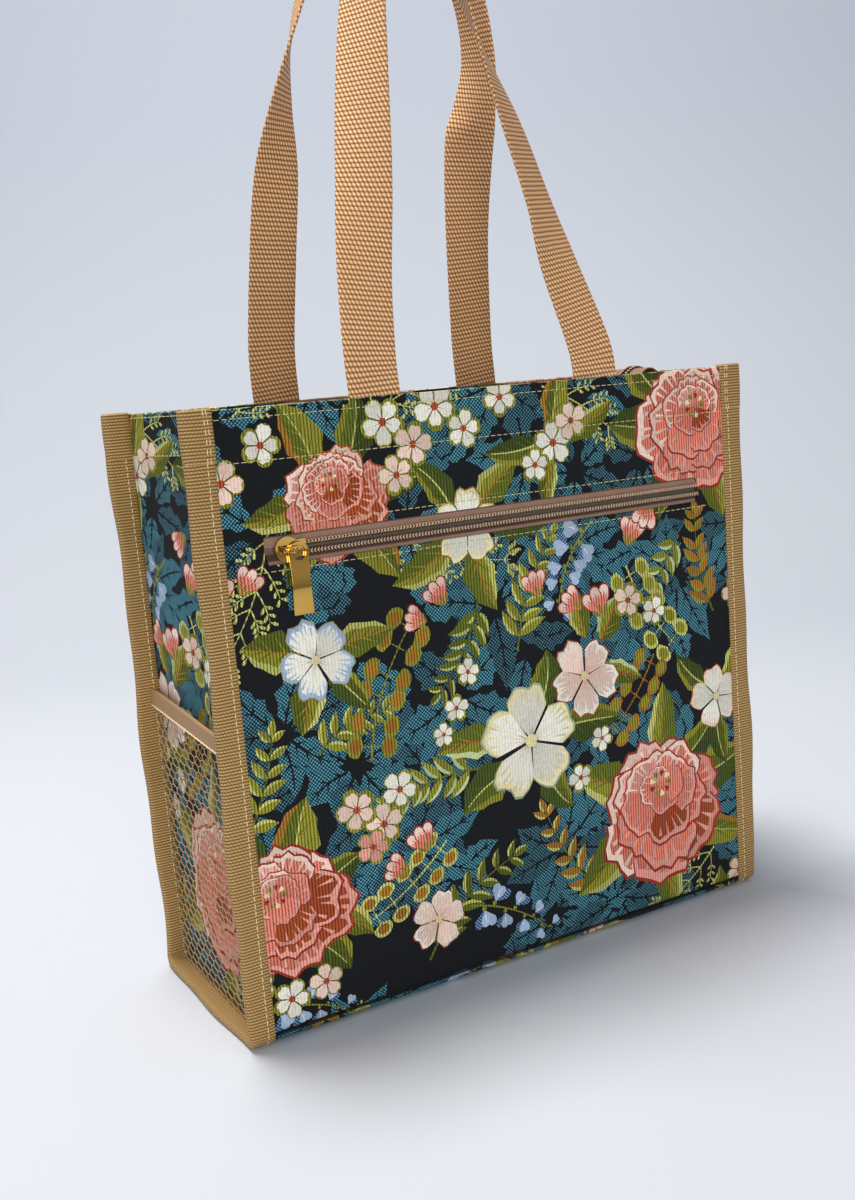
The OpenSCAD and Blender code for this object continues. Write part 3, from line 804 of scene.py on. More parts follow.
# What grows where in one repeat: each plant, with a row of values for each time it is drawn
PLANTING = (
    (spray, (
        (196 + 196j, 226 + 262j, 0.12, 8, 20, 7), (165 + 130j, 92 + 118j, -0.15, 8, 20, 7, "olive", "mint"),
        (120 + 20j, 182 + 70j, 0.18, 7, 21, 8, "deep_olive", "lime"),
        (352 + 196j, 340 + 262j, 0.12, 7, 18, 8, "ochre", "olive"), (12 + 120j, 34 + 176j, -0.1, 6, 18, 7),
        (246 + 30j, 208 + 92j, 0.1, 6, 18, 8, "ochre", "lime"),
        (172 + 232j, 140 + 182j, 0.15, 7, 18, 7, "deep_olive", "lime"),
        (326 + 250j, 300 + 212j, -0.1, 5, 16, 7, "olive", "mint"),
        (60 + 160j, 104 + 178j, 0.2, 6, 16, 6, "olive", "lime"),
    )),
    (plume, (
        (90 + 330j, 170 + 366j, 0.12, 6, 22), (44 + 290j, 12 + 222j, 0.12, 6, 20),
        (110 + 282j, 196 + 252j, -0.12, 6, 19), (345 + 34j, 300 + 4j, 0.1, 5, 17),
        (226 + 352j, 276 + 322j, 0.1, 5, 19), (30 + 350j, 70 + 372j, 0.1, 5, 17),
    )),
    (coin_sprig, (
        (92 + 150j, 126 + 226j, 0.15, 6, 10), (282 + 236j, 318 + 180j, -0.12, 5, 10, "olive", "lime"),
        (136 + 92j, 84 + 56j, 0.1, 5, 9, "ochre", "lime"),
        (300 + 176j, 262 + 132j, 0.1, 5, 9, "olive", "ochre"),
    )),
    (bells, (
        (258 + 268j, 228 + 216j, -0.2, 10, 13), (372 + 232j, 386 + 176j, 0.2, 9, 12),
        (150 + 46j, 206 + 16j, 0.15, 8, 12), (14 + 20j, 62 + 8j, 0.15, 8, 11),
    )),
    (leaf_ring, (
        (300 + 78j, 26, 52, 28, (0.3, 0.95, 1.7, 2.6, 3.5, 4.6, 5.6)),
        (340 + 322j, 24, 46, 25, (0.2, 1.3, 2.5, 3.3, 4.2, 5.3)),
        (30 + 78j, 20, 44, 24, (0.2, 1.1, 2.3, 5.2, 5.9)),
        (84 + 304j, 16, 44, 22, (0.1, 1.0, 2.2, 3.1, 4.1, 5.4)),
        (200 + 140j, 20, 44, 22, (0.2, 1.2, 3.0, 4.0, 5.2)),
        (168 + 276j, 12, 40, 19, (0.0, 0.8, 2.4, 3.6, 5.0)), (352 + 138j, 10, 40, 20, (0.9, 2.2, 4.6)),
        (64 + 214j, 10, 40, 20, (0.4, 2.6, 4.2, 5.5)), (250 + 184j, 12, 36, 18, (0.7, 1.8, 5.6)),
        (232 + 318j, 8, 38, 17, (0.3, 1.6, 3.0, 4.6)),
    )),
    (peony, (
        (300 + 78j, 50, 0.2), (340 + 322j, 44, 0.7, 1.2), (30 + 78j, 39, 0.5, 2.0),
        (84 + 304j, 30, 0.1, 1.8, "rust"),
    )),
    (blossom, (
        (200 + 140j, 35, 0.3), (244 + 172j, 26, 0.9, "blush", "cream", "rose", "rust"),
        (168 + 276j, 23, 0.2, "cream", "straw", "sage", "ochre"),
        (352 + 138j, 22, 0.5, "cream", "blush", "sage", "ochre"),
        (64 + 214j, 23, 0.8, "cream", "sky", "sage", "sage"),
        (128 + 44j, 19, 0.1, "blush", "cream", "rose", "brick"),
    )),
)
FLORETS = (
    (118, 340, 13, "cream"), (136, 326, 12, "blush"), (152, 346, 13, "cream"), (170, 332, 11, "cream"),
    (124, 310, 11, "blush"), (196, 348, 11, "cream"), (44, 334, 11, "cream"), (20, 316, 12, "blush"),
    (232, 318, 13, "cream"), (246, 330, 11, "blush"), (218, 306, 10, "cream"), (96, 112, 12, "blush"),
    (80, 124, 12, "blush"), (108, 130, 11, "cream"), (88, 100, 10, "rose"), (150, 170, 8, "cream"),
    (160, 190, 8, "cream"), (140, 156, 7, "cream"), (236, 108, 9, "cream"), (254, 130, 8, "cream"),
    (30, 24, 11, "cream"), (52, 28, 10, "blush"), (12, 36, 9, "cream"), (372, 206, 11, "blush"),
    (384, 226, 10, "cream"), (282, 214, 11, "blush"), (302, 204, 9, "cream"), (384, 20, 11, "cream"),
    (366, 12, 10, "blush"), (388, 268, 10, "cream"),
)
BUDS = (
    (262 + 206j, 1.9, 21), (246 + 214j, 2.5, 18), (284 + 248j, 1.2, 19), (124 + 88j, 2.0, 18),
    (110 + 80j, 2.7, 16), (372 + 268j, -0.9, 19), (386 + 288j, -0.3, 16), (10 + 250j, 1.4, 18),
    (24 + 256j, 0.9, 16), (214 + 226j, 1.8, 17), (304 + 276j, -2.0, 19), (284 + 284j, -2.6, 16),
    (150 + 232j, 2.2, 17), (136 + 224j, 2.8, 15),
)


def garden():
    """A generic garden of peonies, blossoms, bells and sprays over shadowy foliage."""
    d = Design(11)
    shadows(d)
    for plant, rows in PLANTING:
        for told in rows:
            plant(d, *told)
    for x, y, size, ink in FLORETS:
        floret(d, complex(x, y), size, x * 0.37, ink, "coral" if ink == "cream" else "brick")
    for told in BUDS:
        bud(d, *told)
    return d.shapes


GARDEN = garden()
GARDEN_BOXES = [
    (min(p.real for p in s), max(p.real for p in s), min(p.imag for p in s), max(p.imag for p in s))
    for _, _, s in GARDEN
]


def in_window(u0, u1, v0, v1):
    """The repeating design's shapes that reach into a window of the cloth."""
    found = []
    for (ink, lot, points), (a, b, c, e) in zip(GARDEN, GARDEN_BOXES):
        for i in range(math.ceil((u0 - b) / REPEAT_W), math.floor((u1 - a) / REPEAT_W) + 1):
            for j in range(math.ceil((v0 - e) / REPEAT_H), math.floor((v1 - c) / REPEAT_H) + 1):
                shift = complex(i * REPEAT_W, j * REPEAT_H)
                found.append(((ink, lot), [p + shift for p in points]))
    return found


def flood(corners, kept_lines, side_of):
    """Inks of triangles: known beside a kept line, and passed on over all other edges."""
    across = {}
    for t, (a, b, c) in enumerate(corners):
        across[a, b] = across[b, c] = across[c, a] = t
    ink_of = ["unknown"] * len(corners)
    todo = []
    for t, (a, b, c) in enumerate(corners):
        for line in ((a, b), (b, c), (c, a)):
            if line in kept_lines:
                ink_of[t] = side_of.get(line)
                todo.append(t)
                break
    while todo:
        t = todo.pop()
        a, b, c = corners[t]
        for line in ((a, b), (b, c), (c, a)):
            near = across.get(line[::-1])
            if line not in kept_lines and near is not None and ink_of[near] == "unknown":
                ink_of[near] = ink_of[t]
                todo.append(near)
    return ink_of


def seen_only(found, shown, creases, first_free):
    """Drops edges between triangles of one ink, keeps creases and free points, and joins the rest again."""
    spots, edges, triangles, from_spots, from_edges = found[:5]
    side_of = {}
    for triangle, ink in zip(triangles, shown):
        for a, b in zip(triangle, triangle[1:] + triangle[:1]):
            side_of[a, b] = ink
    lines = []
    for (a, b), made_from in zip(edges, from_edges):
        folded = any(i < creases for i in made_from)
        if folded or side_of.get((a, b)) != side_of.get((b, a)):
            lines.append((a, b))
    free = {i for i, made_from in enumerate(from_spots) if any(k >= first_free for k in made_from)}
    used = sorted(free.union(i for line in lines for i in line))
    place_of = {old: new for new, old in enumerate(used)}
    kept_edges = [(place_of[a], place_of[b]) for a, b in lines]
    again = delaunay_2d_cdt([spots[i] for i in used], kept_edges, [], 0, 1e-6, True)
    old_of = [used[origin[0]] for origin in again[3]]
    kept_lines = {line for a, b in lines for line in ((a, b), (b, a))}
    corners = [[old_of[i] for i in triangle] for triangle in again[2]]
    ink_of = flood(corners, kept_lines, side_of)
    kept = np.array([triangle for triangle, ink in zip(again[2], ink_of) if ink not in (None, "unknown")])
    inks = [ink for ink in ink_of if ink not in (None, "unknown")]
    left, kept = np.unique(kept, return_inverse=True)
    flat = np.array([(p[0], p[1]) for p in again[0]])[left]
    return flat, kept.reshape(-1, 3), inks


def paint(mesh, ink_of):
    """Gives each triangle the colour of its ink and dye lot, and the weave of its ink."""
    table = {ink: np.array(linear(values[0]) + [1.0]) for ink, values in INKS.items()}
    thread = mesh.attributes.new("thread", "FLOAT_COLOR", "CORNER")
    colours = np.repeat(np.array([table[ink] * (lot, lot, lot, 1) for ink, lot in ink_of]), 3, axis=0)
    thread.data.foreach_set("color", colours.ravel().astype(np.float32))
    weave = mesh.attributes.new("weave", "FLOAT_VECTOR", "CORNER")
    kinds = np.repeat(np.array([INKS[ink][1:] for ink, _ in ink_of], float), 3, axis=0)
    weave.data.foreach_set("vector", kinds.ravel().astype(np.float32))


def tapestry_sheet(name, window, start, bend, hole=None, creases=(), step=7.0):
    """Cuts a rectangle u0, u1, v0, v1 from the cloth at start, paints it and bends it into place."""
    u0, u1, v0, v1 = window
    verts = []
    faces = []
    edges = []

    def polygon(points):
        area = sum((p.conjugate() * q).imag for p, q in zip(points, points[1:] + points[:1]))
        first = len(verts)
        verts.extend(Vector((p.real, p.imag)) for p in (points if area > 0 else points[::-1]))
        faces.append(list(range(first, len(verts))))

    def line(points):
        first = len(verts)
        verts.extend(Vector((p.real, p.imag)) for p in points)
        edges.extend((i, i + 1) for i in range(first, len(verts) - 1))

    def rectangle(a, b, c, e):
        return [complex(a, c), complex(b, c), complex(b, e), complex(a, e)]

    polygon(rectangle(u0, u1, v0, v1))
    inks = [("ground", 1.0)]
    shift = complex(start[0] - u0, start[1] - v0)
    reach = in_window(start[0], start[0] + u1 - u0, start[1], start[1] + v1 - v0)
    for ink, points in reach:
        polygon([p - shift for p in points])
        inks.append(ink)
    if hole:
        polygon(rectangle(*hole))
    for points in creases:
        line(points)
    first_free = len(verts)
    for u in np.linspace(u0, u1, max(2, round((u1 - u0) / step) + 1)):
        for v in np.linspace(v0, v1, max(2, round((v1 - v0) / step) + 1)):
            verts.append(Vector((u, v)))
    found = delaunay_2d_cdt(verts, edges, faces, 0, 1e-4, True)
    shown = [inks[max(above)] if 0 in above and len(inks) not in above else None for above in found[5]]
    flat, kept, ink_of = seen_only(found, shown, len(edges), first_free)
    mesh = mesh_from(name, bend(flat[:, 0], flat[:, 1]), kept.tolist())
    set_uv(mesh, "cloth", flat[kept.ravel()])
    paint(mesh, ink_of)
    piece = new_piece(name, mesh, TAPESTRY)
    a, b, c = (flat[kept[:, k]] for k in range(3))
    area = 0.5 * np.abs(np.cross(b - a, c - a)).sum() * MM * MM
    return piece, (u1 - u0) * MM, (v1 - v0) * MM, area


def sewn(found, slot, *nodes):
    """Places a cut sheet; its flat size is worked out but not kept."""
    piece, width, length, area = found
    place(piece, slot, *nodes)
    min(area, width * length)
    return piece


def turned_over(distance):
    """A fold of the cloth: how far it runs on and how deep it lies after a distance round the fold."""
    angle = np.clip(distance / FOLD_R, 0, math.pi)
    past = np.clip(distance - math.pi * FOLD_R, 0, None)
    return FOLD_R * np.sin(angle) - past, FOLD_R * (1 - np.cos(angle))


def over_rim(v, top):
    """Height and depth of a cloth that turns in over the rim at top."""
    run, depth = turned_over(np.clip(v - top, 0, None))
    return np.where(v > top, top + run, v), depth


def creases_at(half, rows):
    return [[complex(u, row) for u in np.linspace(-half, half, 60)] for row in rows]


def rim_creases(half, top):
    return creases_at(half, top + FOLD_R * np.array([0, 0.6, 1.2, 1.9, 2.5, math.pi]))


def fade(value, low, high):
    t = np.clip((value - low) / (high - low), 0, 1)
    return t * t * (3 - 2 * t)


def panel_shape(x, v, slit):
    """Places on the front panel; the back panel is the same without the slit."""
    z, depth = over_rim(v, TURN_Z)
    belly = 3.2 * np.clip(1 - (x / 178) ** 2, 0, 1) ** 1.5 * np.clip(1 - ((z - 126) / 122) ** 2, 0, 1) ** 2
    ripple = 0.85 * np.sin(x / 23 + z / 41) * np.sin(z / 31 - x / 57)
    ripple = ripple * fade(z, 8, 40) * (1 - fade(z, 225, 262)) * (1 - fade(np.abs(x), 140, 172))
    groove = 2.6 * (1 - fade(z, BASE_SEAM_Z - 1, BASE_SEAM_Z + 5))
    y = -FACE_Y - belly - ripple + groove + depth
    if slit:
        side_in = SLIT_HALF_W - np.abs(x)
        level_in = SLIT_HALF_H - np.abs(v - ZIP_Z)
        inside = np.minimum(side_in, level_in)
        run, depth = turned_over(np.clip(inside, 0, None))
        level = (inside > 0) & (level_in <= side_in)
        side = (inside > 0) & (level_in > side_in)
        y = np.where(inside > 0, y + depth, y)
        z = np.where(level, ZIP_Z + np.sign(v - ZIP_Z) * (SLIT_HALF_H - run), z)
        x = np.where(side, np.sign(x) * (SLIT_HALF_W - run), x)
    return x, y, z


def front_bend(u, v):
    x, y, z = panel_shape(u, v, True)
    return np.stack([x, y, z], 1)


def back_bend(u, v):
    x, y, z = panel_shape(-u, v, False)
    return np.stack([x, -y, z], 1)


def pleat(y, z):
    """How far the gusset's pleat lies in, at a place on the side."""
    share = np.clip((z - PLEAT_Z) / (RIM_Z - PLEAT_Z), 0.02, 1)
    t = np.abs(y) / (PLEAT_Y * share)
    vee = np.clip(1.04 - np.sqrt(t * t + 0.012), 0, 1)
    return PLEAT_DEPTH * share * vee


def gusset_bend(side):
    def bend(u, v):
        y = side * u
        z, depth = over_rim(v, TURN_Z)
        middle = np.clip(1 - (y / 62) ** 2, 0, 1)
        puff = 1.2 * middle * np.clip(1 - ((z - 100) / 96) ** 2, 0, 1)
        ripple = 0.5 * np.sin(z / 19 + y / 27) * middle * (1 - fade(z, 300, 345))
        x = HALF_W - pleat(y, z) + puff + ripple - depth
        return np.stack([side * x, y, z], 1)
    return bend


BASE_START = math.asin((BASE_R - BASE_SEAM_Z) / BASE_R)
BASE_ARC = BASE_R * (math.pi / 2 - BASE_START)
BASE_FLAT = FACE_Y - BASE_R
BASE_HALF = BASE_FLAT + BASE_ARC + BASE_LIP


def base_bend(u, v):
    x = -u
    sign = np.sign(v)
    past = np.clip(np.abs(v) - BASE_FLAT, 0, None)
    angle = np.clip(past / BASE_R, 0, math.pi / 2 - BASE_START)
    lip = np.clip(past - BASE_ARC, 0, None)
    y = np.clip(np.abs(v), 0, BASE_FLAT) + BASE_R * np.sin(angle) - 0.75 * lip
    z = BASE_R * (1 - np.cos(angle)) + 0.4 * lip
    uneven = 0.35 * (1 + np.sin(x / 37) * np.sin(y / 29)) * (1 - np.clip(past, 0, 1))
    return np.stack([x, sign * y, z + 0.1 + uneven], 1)


def facing_bend(side, wall):
    """Facings show their inner face: wall 'y' is front or back, wall 'x' is left or right."""
    def bend(u, v):
        z, depth = over_rim(v, TURN_Z - FACING_DROP)
        if wall == "y":
            return np.stack([side * u, np.full_like(u, side * FACING_Y) + side * depth, z], 1)
        y = -side * u
        x = FACING_X - pleat(y, z) + depth
        return np.stack([side * x, y, z], 1)
    return bend


def slit_creases(lip):
    """Rings where the slit's edge turns in, and cuts into its corners."""
    creases = []
    for inset in (0, 0.4, 0.8, 1.3, 1.8, math.pi * FOLD_R):
        w, h = SLIT_HALF_W - inset, SLIT_HALF_H - inset
        ring = [complex(x, ZIP_Z - h) for x in np.linspace(-w, w, 50)]
        ring += [complex(x, ZIP_Z + h) for x in np.linspace(w, -w, 50)]
        creases.append(ring + ring[:1])
    for sx in (-1, 1):
        for sz in (-1, 1):
            corner = complex(sx * SLIT_HALF_W, ZIP_Z + sz * SLIT_HALF_H)
            creases.append([corner, corner - lip * complex(sx, sz)])
    return creases


def make_panels():
    end = TURN_Z + math.pi * FOLD_R + HEM_H
    lip = math.pi * FOLD_R + 1.2
    w, h = SLIT_HALF_W - lip, SLIT_HALF_H - lip
    hole = (-w, w, ZIP_Z - h, ZIP_Z + h)
    rim = rim_creases(PANEL_HALF, TURN_Z)
    window = (-PANEL_HALF, PANEL_HALF, BASE_SEAM_Z - 1.5, end)
    front = tapestry_sheet("front_cloth", window, (6, 4), front_bend, hole, rim + slit_creases(lip))
    back = tapestry_sheet("back_cloth", window, (206, 150), back_bend, None, rim)
    sewn(front, "tapestry", "front_panel")
    sewn(back, "tapestry", "back_panel")
    window = (-GUSSET_HALF, GUSSET_HALF, 3.5, end)
    rim = rim_creases(GUSSET_HALF, TURN_Z)
    for name, side, start in (("left", -1, (226, 4)), ("right", 1, (30, 190))):
        gusset = tapestry_sheet(f"{name}_gusset_cloth", window, start, gusset_bend(side), None, rim)
        sewn(gusset, "tapestry", f"{name}_gusset")
    window = (-PANEL_HALF, PANEL_HALF, -BASE_HALF, BASE_HALF)
    rolls = creases_at(PANEL_HALF, [s * (BASE_FLAT + k * BASE_ARC / 6) for s in (-1, 1) for k in range(7)])
    base = tapestry_sheet("base_cloth", window, (10, 240), base_bend, None, rolls)
    sewn(base, "tapestry", "base_panel")
    top = TURN_Z - FACING_DROP
    for name, side, wall, half, start in (
        ("front", -1, "y", 170.5, (90, 310)), ("back", 1, "y", 170.5, (180, 270)),
        ("left", -1, "x", 66.5, (20, 330)), ("right", 1, "x", 66.5, (150, 330)),
    ):
        window = (-half, half, RIM_Z - FACING_H, top + math.pi * FOLD_R + 6)
        rim = rim_creases(half, top)
        facing = tapestry_sheet(f"{name}_facing_cloth", window, start, facing_bend(side, wall), None, rim)
        sewn(facing, "facing", f"{name}_facing")


make_panels()


def make_lining():
    """An open sack below the facings that follows the pleats and hangs a little loose."""
    half_x, half_y, low, high = LINING_HALF_W, LINING_HALF_D, LINING_Z, RIM_Z - FACING_H + 2
    walls = [(x, -half_y) for x in np.linspace(-half_x, half_x, 70)[:-1]]
    walls += [(half_x, y) for y in np.linspace(-half_y, half_y, 40)[:-1]]
    walls += [(x, half_y) for x in np.linspace(half_x, -half_x, 70)[:-1]]
    walls += [(-half_x, y) for y in np.linspace(half_y, -half_y, 40)[:-1]]
    outline = np.array(walls)
    around = lengths_along(np.vstack([outline, outline[:1]]))
    x, y = outline[:, 0], outline[:, 1]
    on_side = np.isclose(np.abs(x), half_x)
    rings = []
    heights = np.concatenate([[low, low + 0.6, low + 2], np.linspace(low + 8, high, 44)])
    for z in heights:
        inner = np.where(on_side, pleat(y, np.full_like(y, z)), 0)
        wrinkle = 0.9 * np.sin(around[:-1] / 17 + z / 29) * np.sin(z / 23 - around[:-1] / 41)
        loose = (0.9 + wrinkle) * math.sin(math.pi * (z - low) / (high - low))
        tuck = 2.2 * max(0, 1 - (z - low) / 2) ** 2
        px = x - np.sign(x) * (inner + np.where(on_side, loose, 0)) - x / half_x * tuck
        py = y - np.sign(y) * np.where(on_side, 0, loose) - y / half_y * tuck
        rings.append(np.stack([px, py, np.full_like(px, z)], 1))
    rings = np.array(rings)[:, ::-1]
    size = rings.shape[1]
    faces, uvs = wall_of(rings, around, heights)
    faces.append(tuple(range(size))[::-1])
    uvs += [(rings[0, k, 0], rings[0, k, 1]) for k in range(size)][::-1]
    mesh = mesh_from("lining_sack", rings.reshape(-1, 3), faces)
    set_uv(mesh, "tape", uvs)
    piece = new_piece("lining_sack", mesh, LINING)
    place(piece, "lining", "lining")


make_lining()
frame["nodes"]["front_pouch"].data.materials.clear()
frame["nodes"]["front_pouch"].data.materials.append(LINING)


def seam_path(n):
    """The side seam from the front top round the base to the back top, n outside its outer face."""
    r = CORNER_R
    points = [(-SEAM_HALF_D, z, -1, 0) for z in np.linspace(RIM_Z + 0.6, r, 110)]
    for a in np.linspace(0, math.pi / 2, 9)[1:-1]:
        points.append((r - SEAM_HALF_D - r * math.cos(a), r - r * math.sin(a), -math.cos(a), -math.sin(a)))
    points += [(y, 0, 0, -1) for y in np.linspace(r - SEAM_HALF_D, SEAM_HALF_D - r, 46)]
    for a in np.linspace(0, math.pi / 2, 9)[1:-1]:
        points.append((SEAM_HALF_D - r + r * math.sin(a), r - r * math.cos(a), math.sin(a), -math.cos(a)))
    points += [(SEAM_HALF_D, z, 1, 0) for z in np.linspace(r, RIM_Z + 0.6, 110)]
    return [(y + n * ny, z + n * nz, ny, nz) for y, z, ny, nz in points]


def tape_profile(lap, reach, out, stack):
    """Section of a folded tape: distance from the middle of the bag and height above the seam's face."""
    r = (stack + out) / 2
    points = [(lap, out - 0.95), (lap, out - 0.3), (lap + 0.35, out)]
    points += [(x, out + 0.1) for x in (lap + 3, lap + 6, lap + 9.5)]
    for a in np.linspace(math.pi / 2, -math.pi / 2, 9):
        points.append((reach - r + r * math.cos(a), out - r + r * math.sin(a)))
    points += [(x, -stack - 0.05) for x in (lap + 10, lap + 6)]
    points += [(lap + 1.5, -stack), (lap + 1.1, 0.4 - stack), (lap + 1.1, 0.95 - stack)]
    return points


def make_binding(side, name):
    profile = tape_profile(HALF_W - 1, FLANGE_X, 0.0, SEAM_STACK)
    path = seam_path(0)
    along = lengths_along([(y, z) for y, z, _, _ in path])
    across = lengths_along(profile + profile[:1])
    rings = []
    for (y, z, ny, nz), s in zip(path, along):
        ring = []
        for x, n in profile:
            outer = fade(x, HALF_W + 2, FLANGE_X)
            wavy = outer * (1.0 * math.sin(s / 31) + 0.6 * math.sin(s / 12.7 + 1))
            lift = outer * 0.45 * math.sin(s / 23 + 2) * (1 if nz == 0 else 0.2)
            ring.append((side * (x + wavy), y + (n + lift) * ny, max(z + (n + lift) * nz, 0.0)))
        rings.append(ring)
    piece = skin(f"{name}_tape", np.array(rings), across, along, BINDING)
    place(piece, "binding", f"{name}_binding")


def make_tab(side, sign, name):
    """The binding's end, turned over and sewn down below the rim."""
    profile = tape_profile(HALF_W - 1.5, FLANGE_X + 0.7, 0.95, SEAM_STACK + 0.95)
    middle = (HALF_W + FLANGE_X) / 2
    levels = [(TAB_Z - 0.2, 0.75), (TAB_Z, 0.93), (TAB_Z + 0.7, 1.0)]
    levels += [(z, 1.0) for z in np.linspace(TAB_Z + 4, RIM_Z - 0.5, 14)]
    levels += [(RIM_Z + 0.4, 0.97), (RIM_Z + 0.9, 0.88), (RIM_Z + 1.15, 0.7)]
    rings = []
    for z, share in levels:
        squeeze = 1 - 0.35 * (1 - share)
        lean = 0.6 * math.sin((z - TAB_Z) / 11)
        ring = []
        for x, n in profile:
            out = middle + (x - middle) * squeeze + lean * fade(x, HALF_W + 4, FLANGE_X)
            y = SEAM_HALF_D + (n + SEAM_STACK / 2) * share - SEAM_STACK / 2
            ring.append((side * out, sign * y, z))
        rings.append(ring)
    across = lengths_along(profile + profile[:1])
    piece = skin(name, np.array(rings), across, [z for z, _ in levels], BINDING)
    place(piece, "binding")


for side, name in ((-1, "left"), (1, "right")):
    make_binding(side, name)
    make_tab(side, -1, f"{name}_front_tab")
    make_tab(side, 1, f"{name}_back_tab")


def net_top(y):
    return NET_FRONT_Z + (NET_BACK_Z - NET_FRONT_Z) * (y + PLEAT_Y) / (2 * PLEAT_Y)


FRONT_ROUTE = (
    (-0.500, 1.00, 0.000, 0), (-0.500, 0.97, 0.080, -1), (-0.465, 0.85, 0.220, -8),
    (-0.400, 0.70, 0.395, -28), (-0.340, 0.55, 0.565, -47), (-0.270, 0.41, 0.745, -66),
    (-0.195, 0.31, 0.890, -80), (-0.105, 0.27, 0.980, -89), (-0.010, 0.26, 1.000, -90),
    (0.070, 0.28, 0.940, -92), (0.135, 0.34, 0.820, -104), (0.220, 0.46, 0.650, -128),
    (0.295, 0.60, 0.500, -146), (0.365, 0.74, 0.340, -154), (0.410, 0.84, 0.220, -170),
    (0.485, 0.97, 0.070, -179), (0.500, 1.00, 0.000, -180),
)
BACK_ROUTE = (
    (-0.500, 1.00, 0.000, 0), (-0.515, 0.92, 0.115, 0), (-0.500, 0.76, 0.305, 2),
    (-0.480, 0.63, 0.455, 10), (-0.455, 0.50, 0.590, 44), (-0.400, 0.39, 0.730, 72),
    (-0.290, 0.30, 0.880, 84), (-0.120, 0.25, 0.985, 89), (0.060, 0.25, 1.000, 90),
    (0.260, 0.28, 0.940, 91), (0.400, 0.34, 0.830, 92), (0.460, 0.42, 0.700, 98),
    (0.450, 0.51, 0.600, 118), (0.430, 0.58, 0.520, 152), (0.430, 0.72, 0.340, 176),
    (0.470, 0.92, 0.115, 180), (0.500, 1.00, 0.000, 180),
)


def strap_section(width, thick):
    """Section of a strap with round selvedges: across and up."""
    w, t = width / 2, thick / 2
    top = [(x, t) for x in np.linspace(w - t, t - w, 13)]
    left = [(t - w - t * math.sin(a), t * math.cos(a)) for a in np.linspace(0, math.pi, 5)[1:-1]]
    under = [(x, -t) for x in np.linspace(t - w, w - t, 13)]
    right = [(w - t + t * math.sin(a), -t * math.cos(a)) for a in np.linspace(0, math.pi, 5)[1:-1]]
    return top + left + under + right


def ribbon(name, spots, sides, section, material):
    """Sweeps a flat section along spots; sides point across the ribbon."""
    spots = np.asarray(spots, float)
    ahead = np.gradient(spots, axis=0)
    ahead /= np.linalg.norm(ahead, axis=1)[:, None]
    sides = sides - (sides * ahead).sum(1)[:, None] * ahead
    sides /= np.linalg.norm(sides, axis=1)[:, None]
    up = np.cross(ahead, sides)
    rings = np.array([
        [p + a * s + b * u for a, b in section] for p, s, u in zip(spots, sides, up)
    ])
    across = lengths_along(section + section[:1])
    return skin(name, rings, across, lengths_along(spots), material)


def make_handle(name, route, rise, depth):
    """A strap along a route: share of the spread, of the depth and of the rise, and its turn in degrees."""
    feet = [(across, 1, -HANDLE_FOOT / rise, turn) for across, _, _, turn in (route[0], route[-1])]
    first, last = np.linspace(feet[0], route[0], 10), np.linspace(route[-1], feet[1], 10)
    way = np.vstack([first[:-1], smooth(route, 24), last[1:]])
    spots = np.stack([way[:, 0] * HANDLE_SPREAD, way[:, 1] * depth, RIM_Z + way[:, 2] * rise], 1)
    turn = np.radians(way[:, 3])
    sides = np.stack([np.cos(turn), np.sin(turn), np.zeros_like(turn)], 1)
    piece = ribbon(f"{name}_strap", spots, sides, strap_section(HANDLE_W, HANDLE_T), WEBBING)
    place(piece, "webbing", f"{name}_handle")


make_handle("front", FRONT_ROUTE, FRONT_RISE, -HANDLE_Y)
make_handle("back", BACK_ROUTE, BACK_RISE, HANDLE_Y)


def make_front_tapes():
    for name, sign, shade_to in (("upper", 1, 9.3), ("lower", -1, 4.6)):
        xs = np.linspace(-TAPE_END_X, TAPE_END_X, 120)
        middle = ZIP_Z + sign * (TAPE_GAP + TAPE_W / 2)
        spots = np.stack([xs, np.full_like(xs, -ZIP_Y + 0.4), np.full_like(xs, middle)], 1)
        sides = np.tile(np.array(UP, float), (len(xs), 1))
        finish = zip_tape_finish(f"{name}_zip_tape", shade_to)
        piece = ribbon(f"front_{name}_zip_cloth", spots, sides, strap_section(TAPE_W, TAPE_T), finish)
        place(piece, "zip_tape", f"front_zip_{name}_tape")


make_front_tapes()

# One edge of the open top zip: x, share of the way to its tail, sag, and turn in degrees
OPENING_ROUTE = (
    (-158, 0.00, 6, 0), (-110, 0.00, 4, 0), (-64, 0.00, 0, 0), (-20, 0.00, 0, 0), (14, 0.00, 0, 0),
    (30, 0.10, 3, 8), (44, 0.40, 8, 25), (54, 0.72, 10, 50), (62, 0.94, 6, 78),
)


def half_tape(side):
    """Middle line and sideways directions of one half of the top zip."""
    tail = -TAIL_Y + side * (TAPE_GAP + TAPE_W / 2)
    rim = side * RIM_TAPE_Y
    spots = []
    sides = []
    for x, share, sag, turn in smooth(OPENING_ROUTE, 8):
        spots.append((x, rim + (tail - rim) * max(share, 0), RIM_TAPE_Z - sag))
        sides.append((0, side * math.sin(math.radians(turn)), math.cos(math.radians(turn))))
    for x in np.concatenate([[TAIL_X1, TAIL_X1 + 3, 90, 104], np.linspace(TAIL_ARCH_X1, TAIL_X2, 24)]):
        lift = TAIL_ARCH * math.sin(math.pi * max(0, x - TAIL_ARCH_X1) / (TAIL_X2 - TAIL_ARCH_X1)) ** 2
        spots.append((x, tail, TAIL_Z + lift - 0.4))
        sides.append((0, side, 0))
    return np.array(spots, float), np.array(sides, float)


for name, side in (("front", -1), ("back", 1)):
    spots, sides = half_tape(side)
    piece = ribbon(f"top_{name}_zip_cloth", spots, sides, strap_section(TAPE_W, TAPE_T), ZIP_TAPE)
    place(piece, "zip_tape", f"top_zip_{name}_tape")


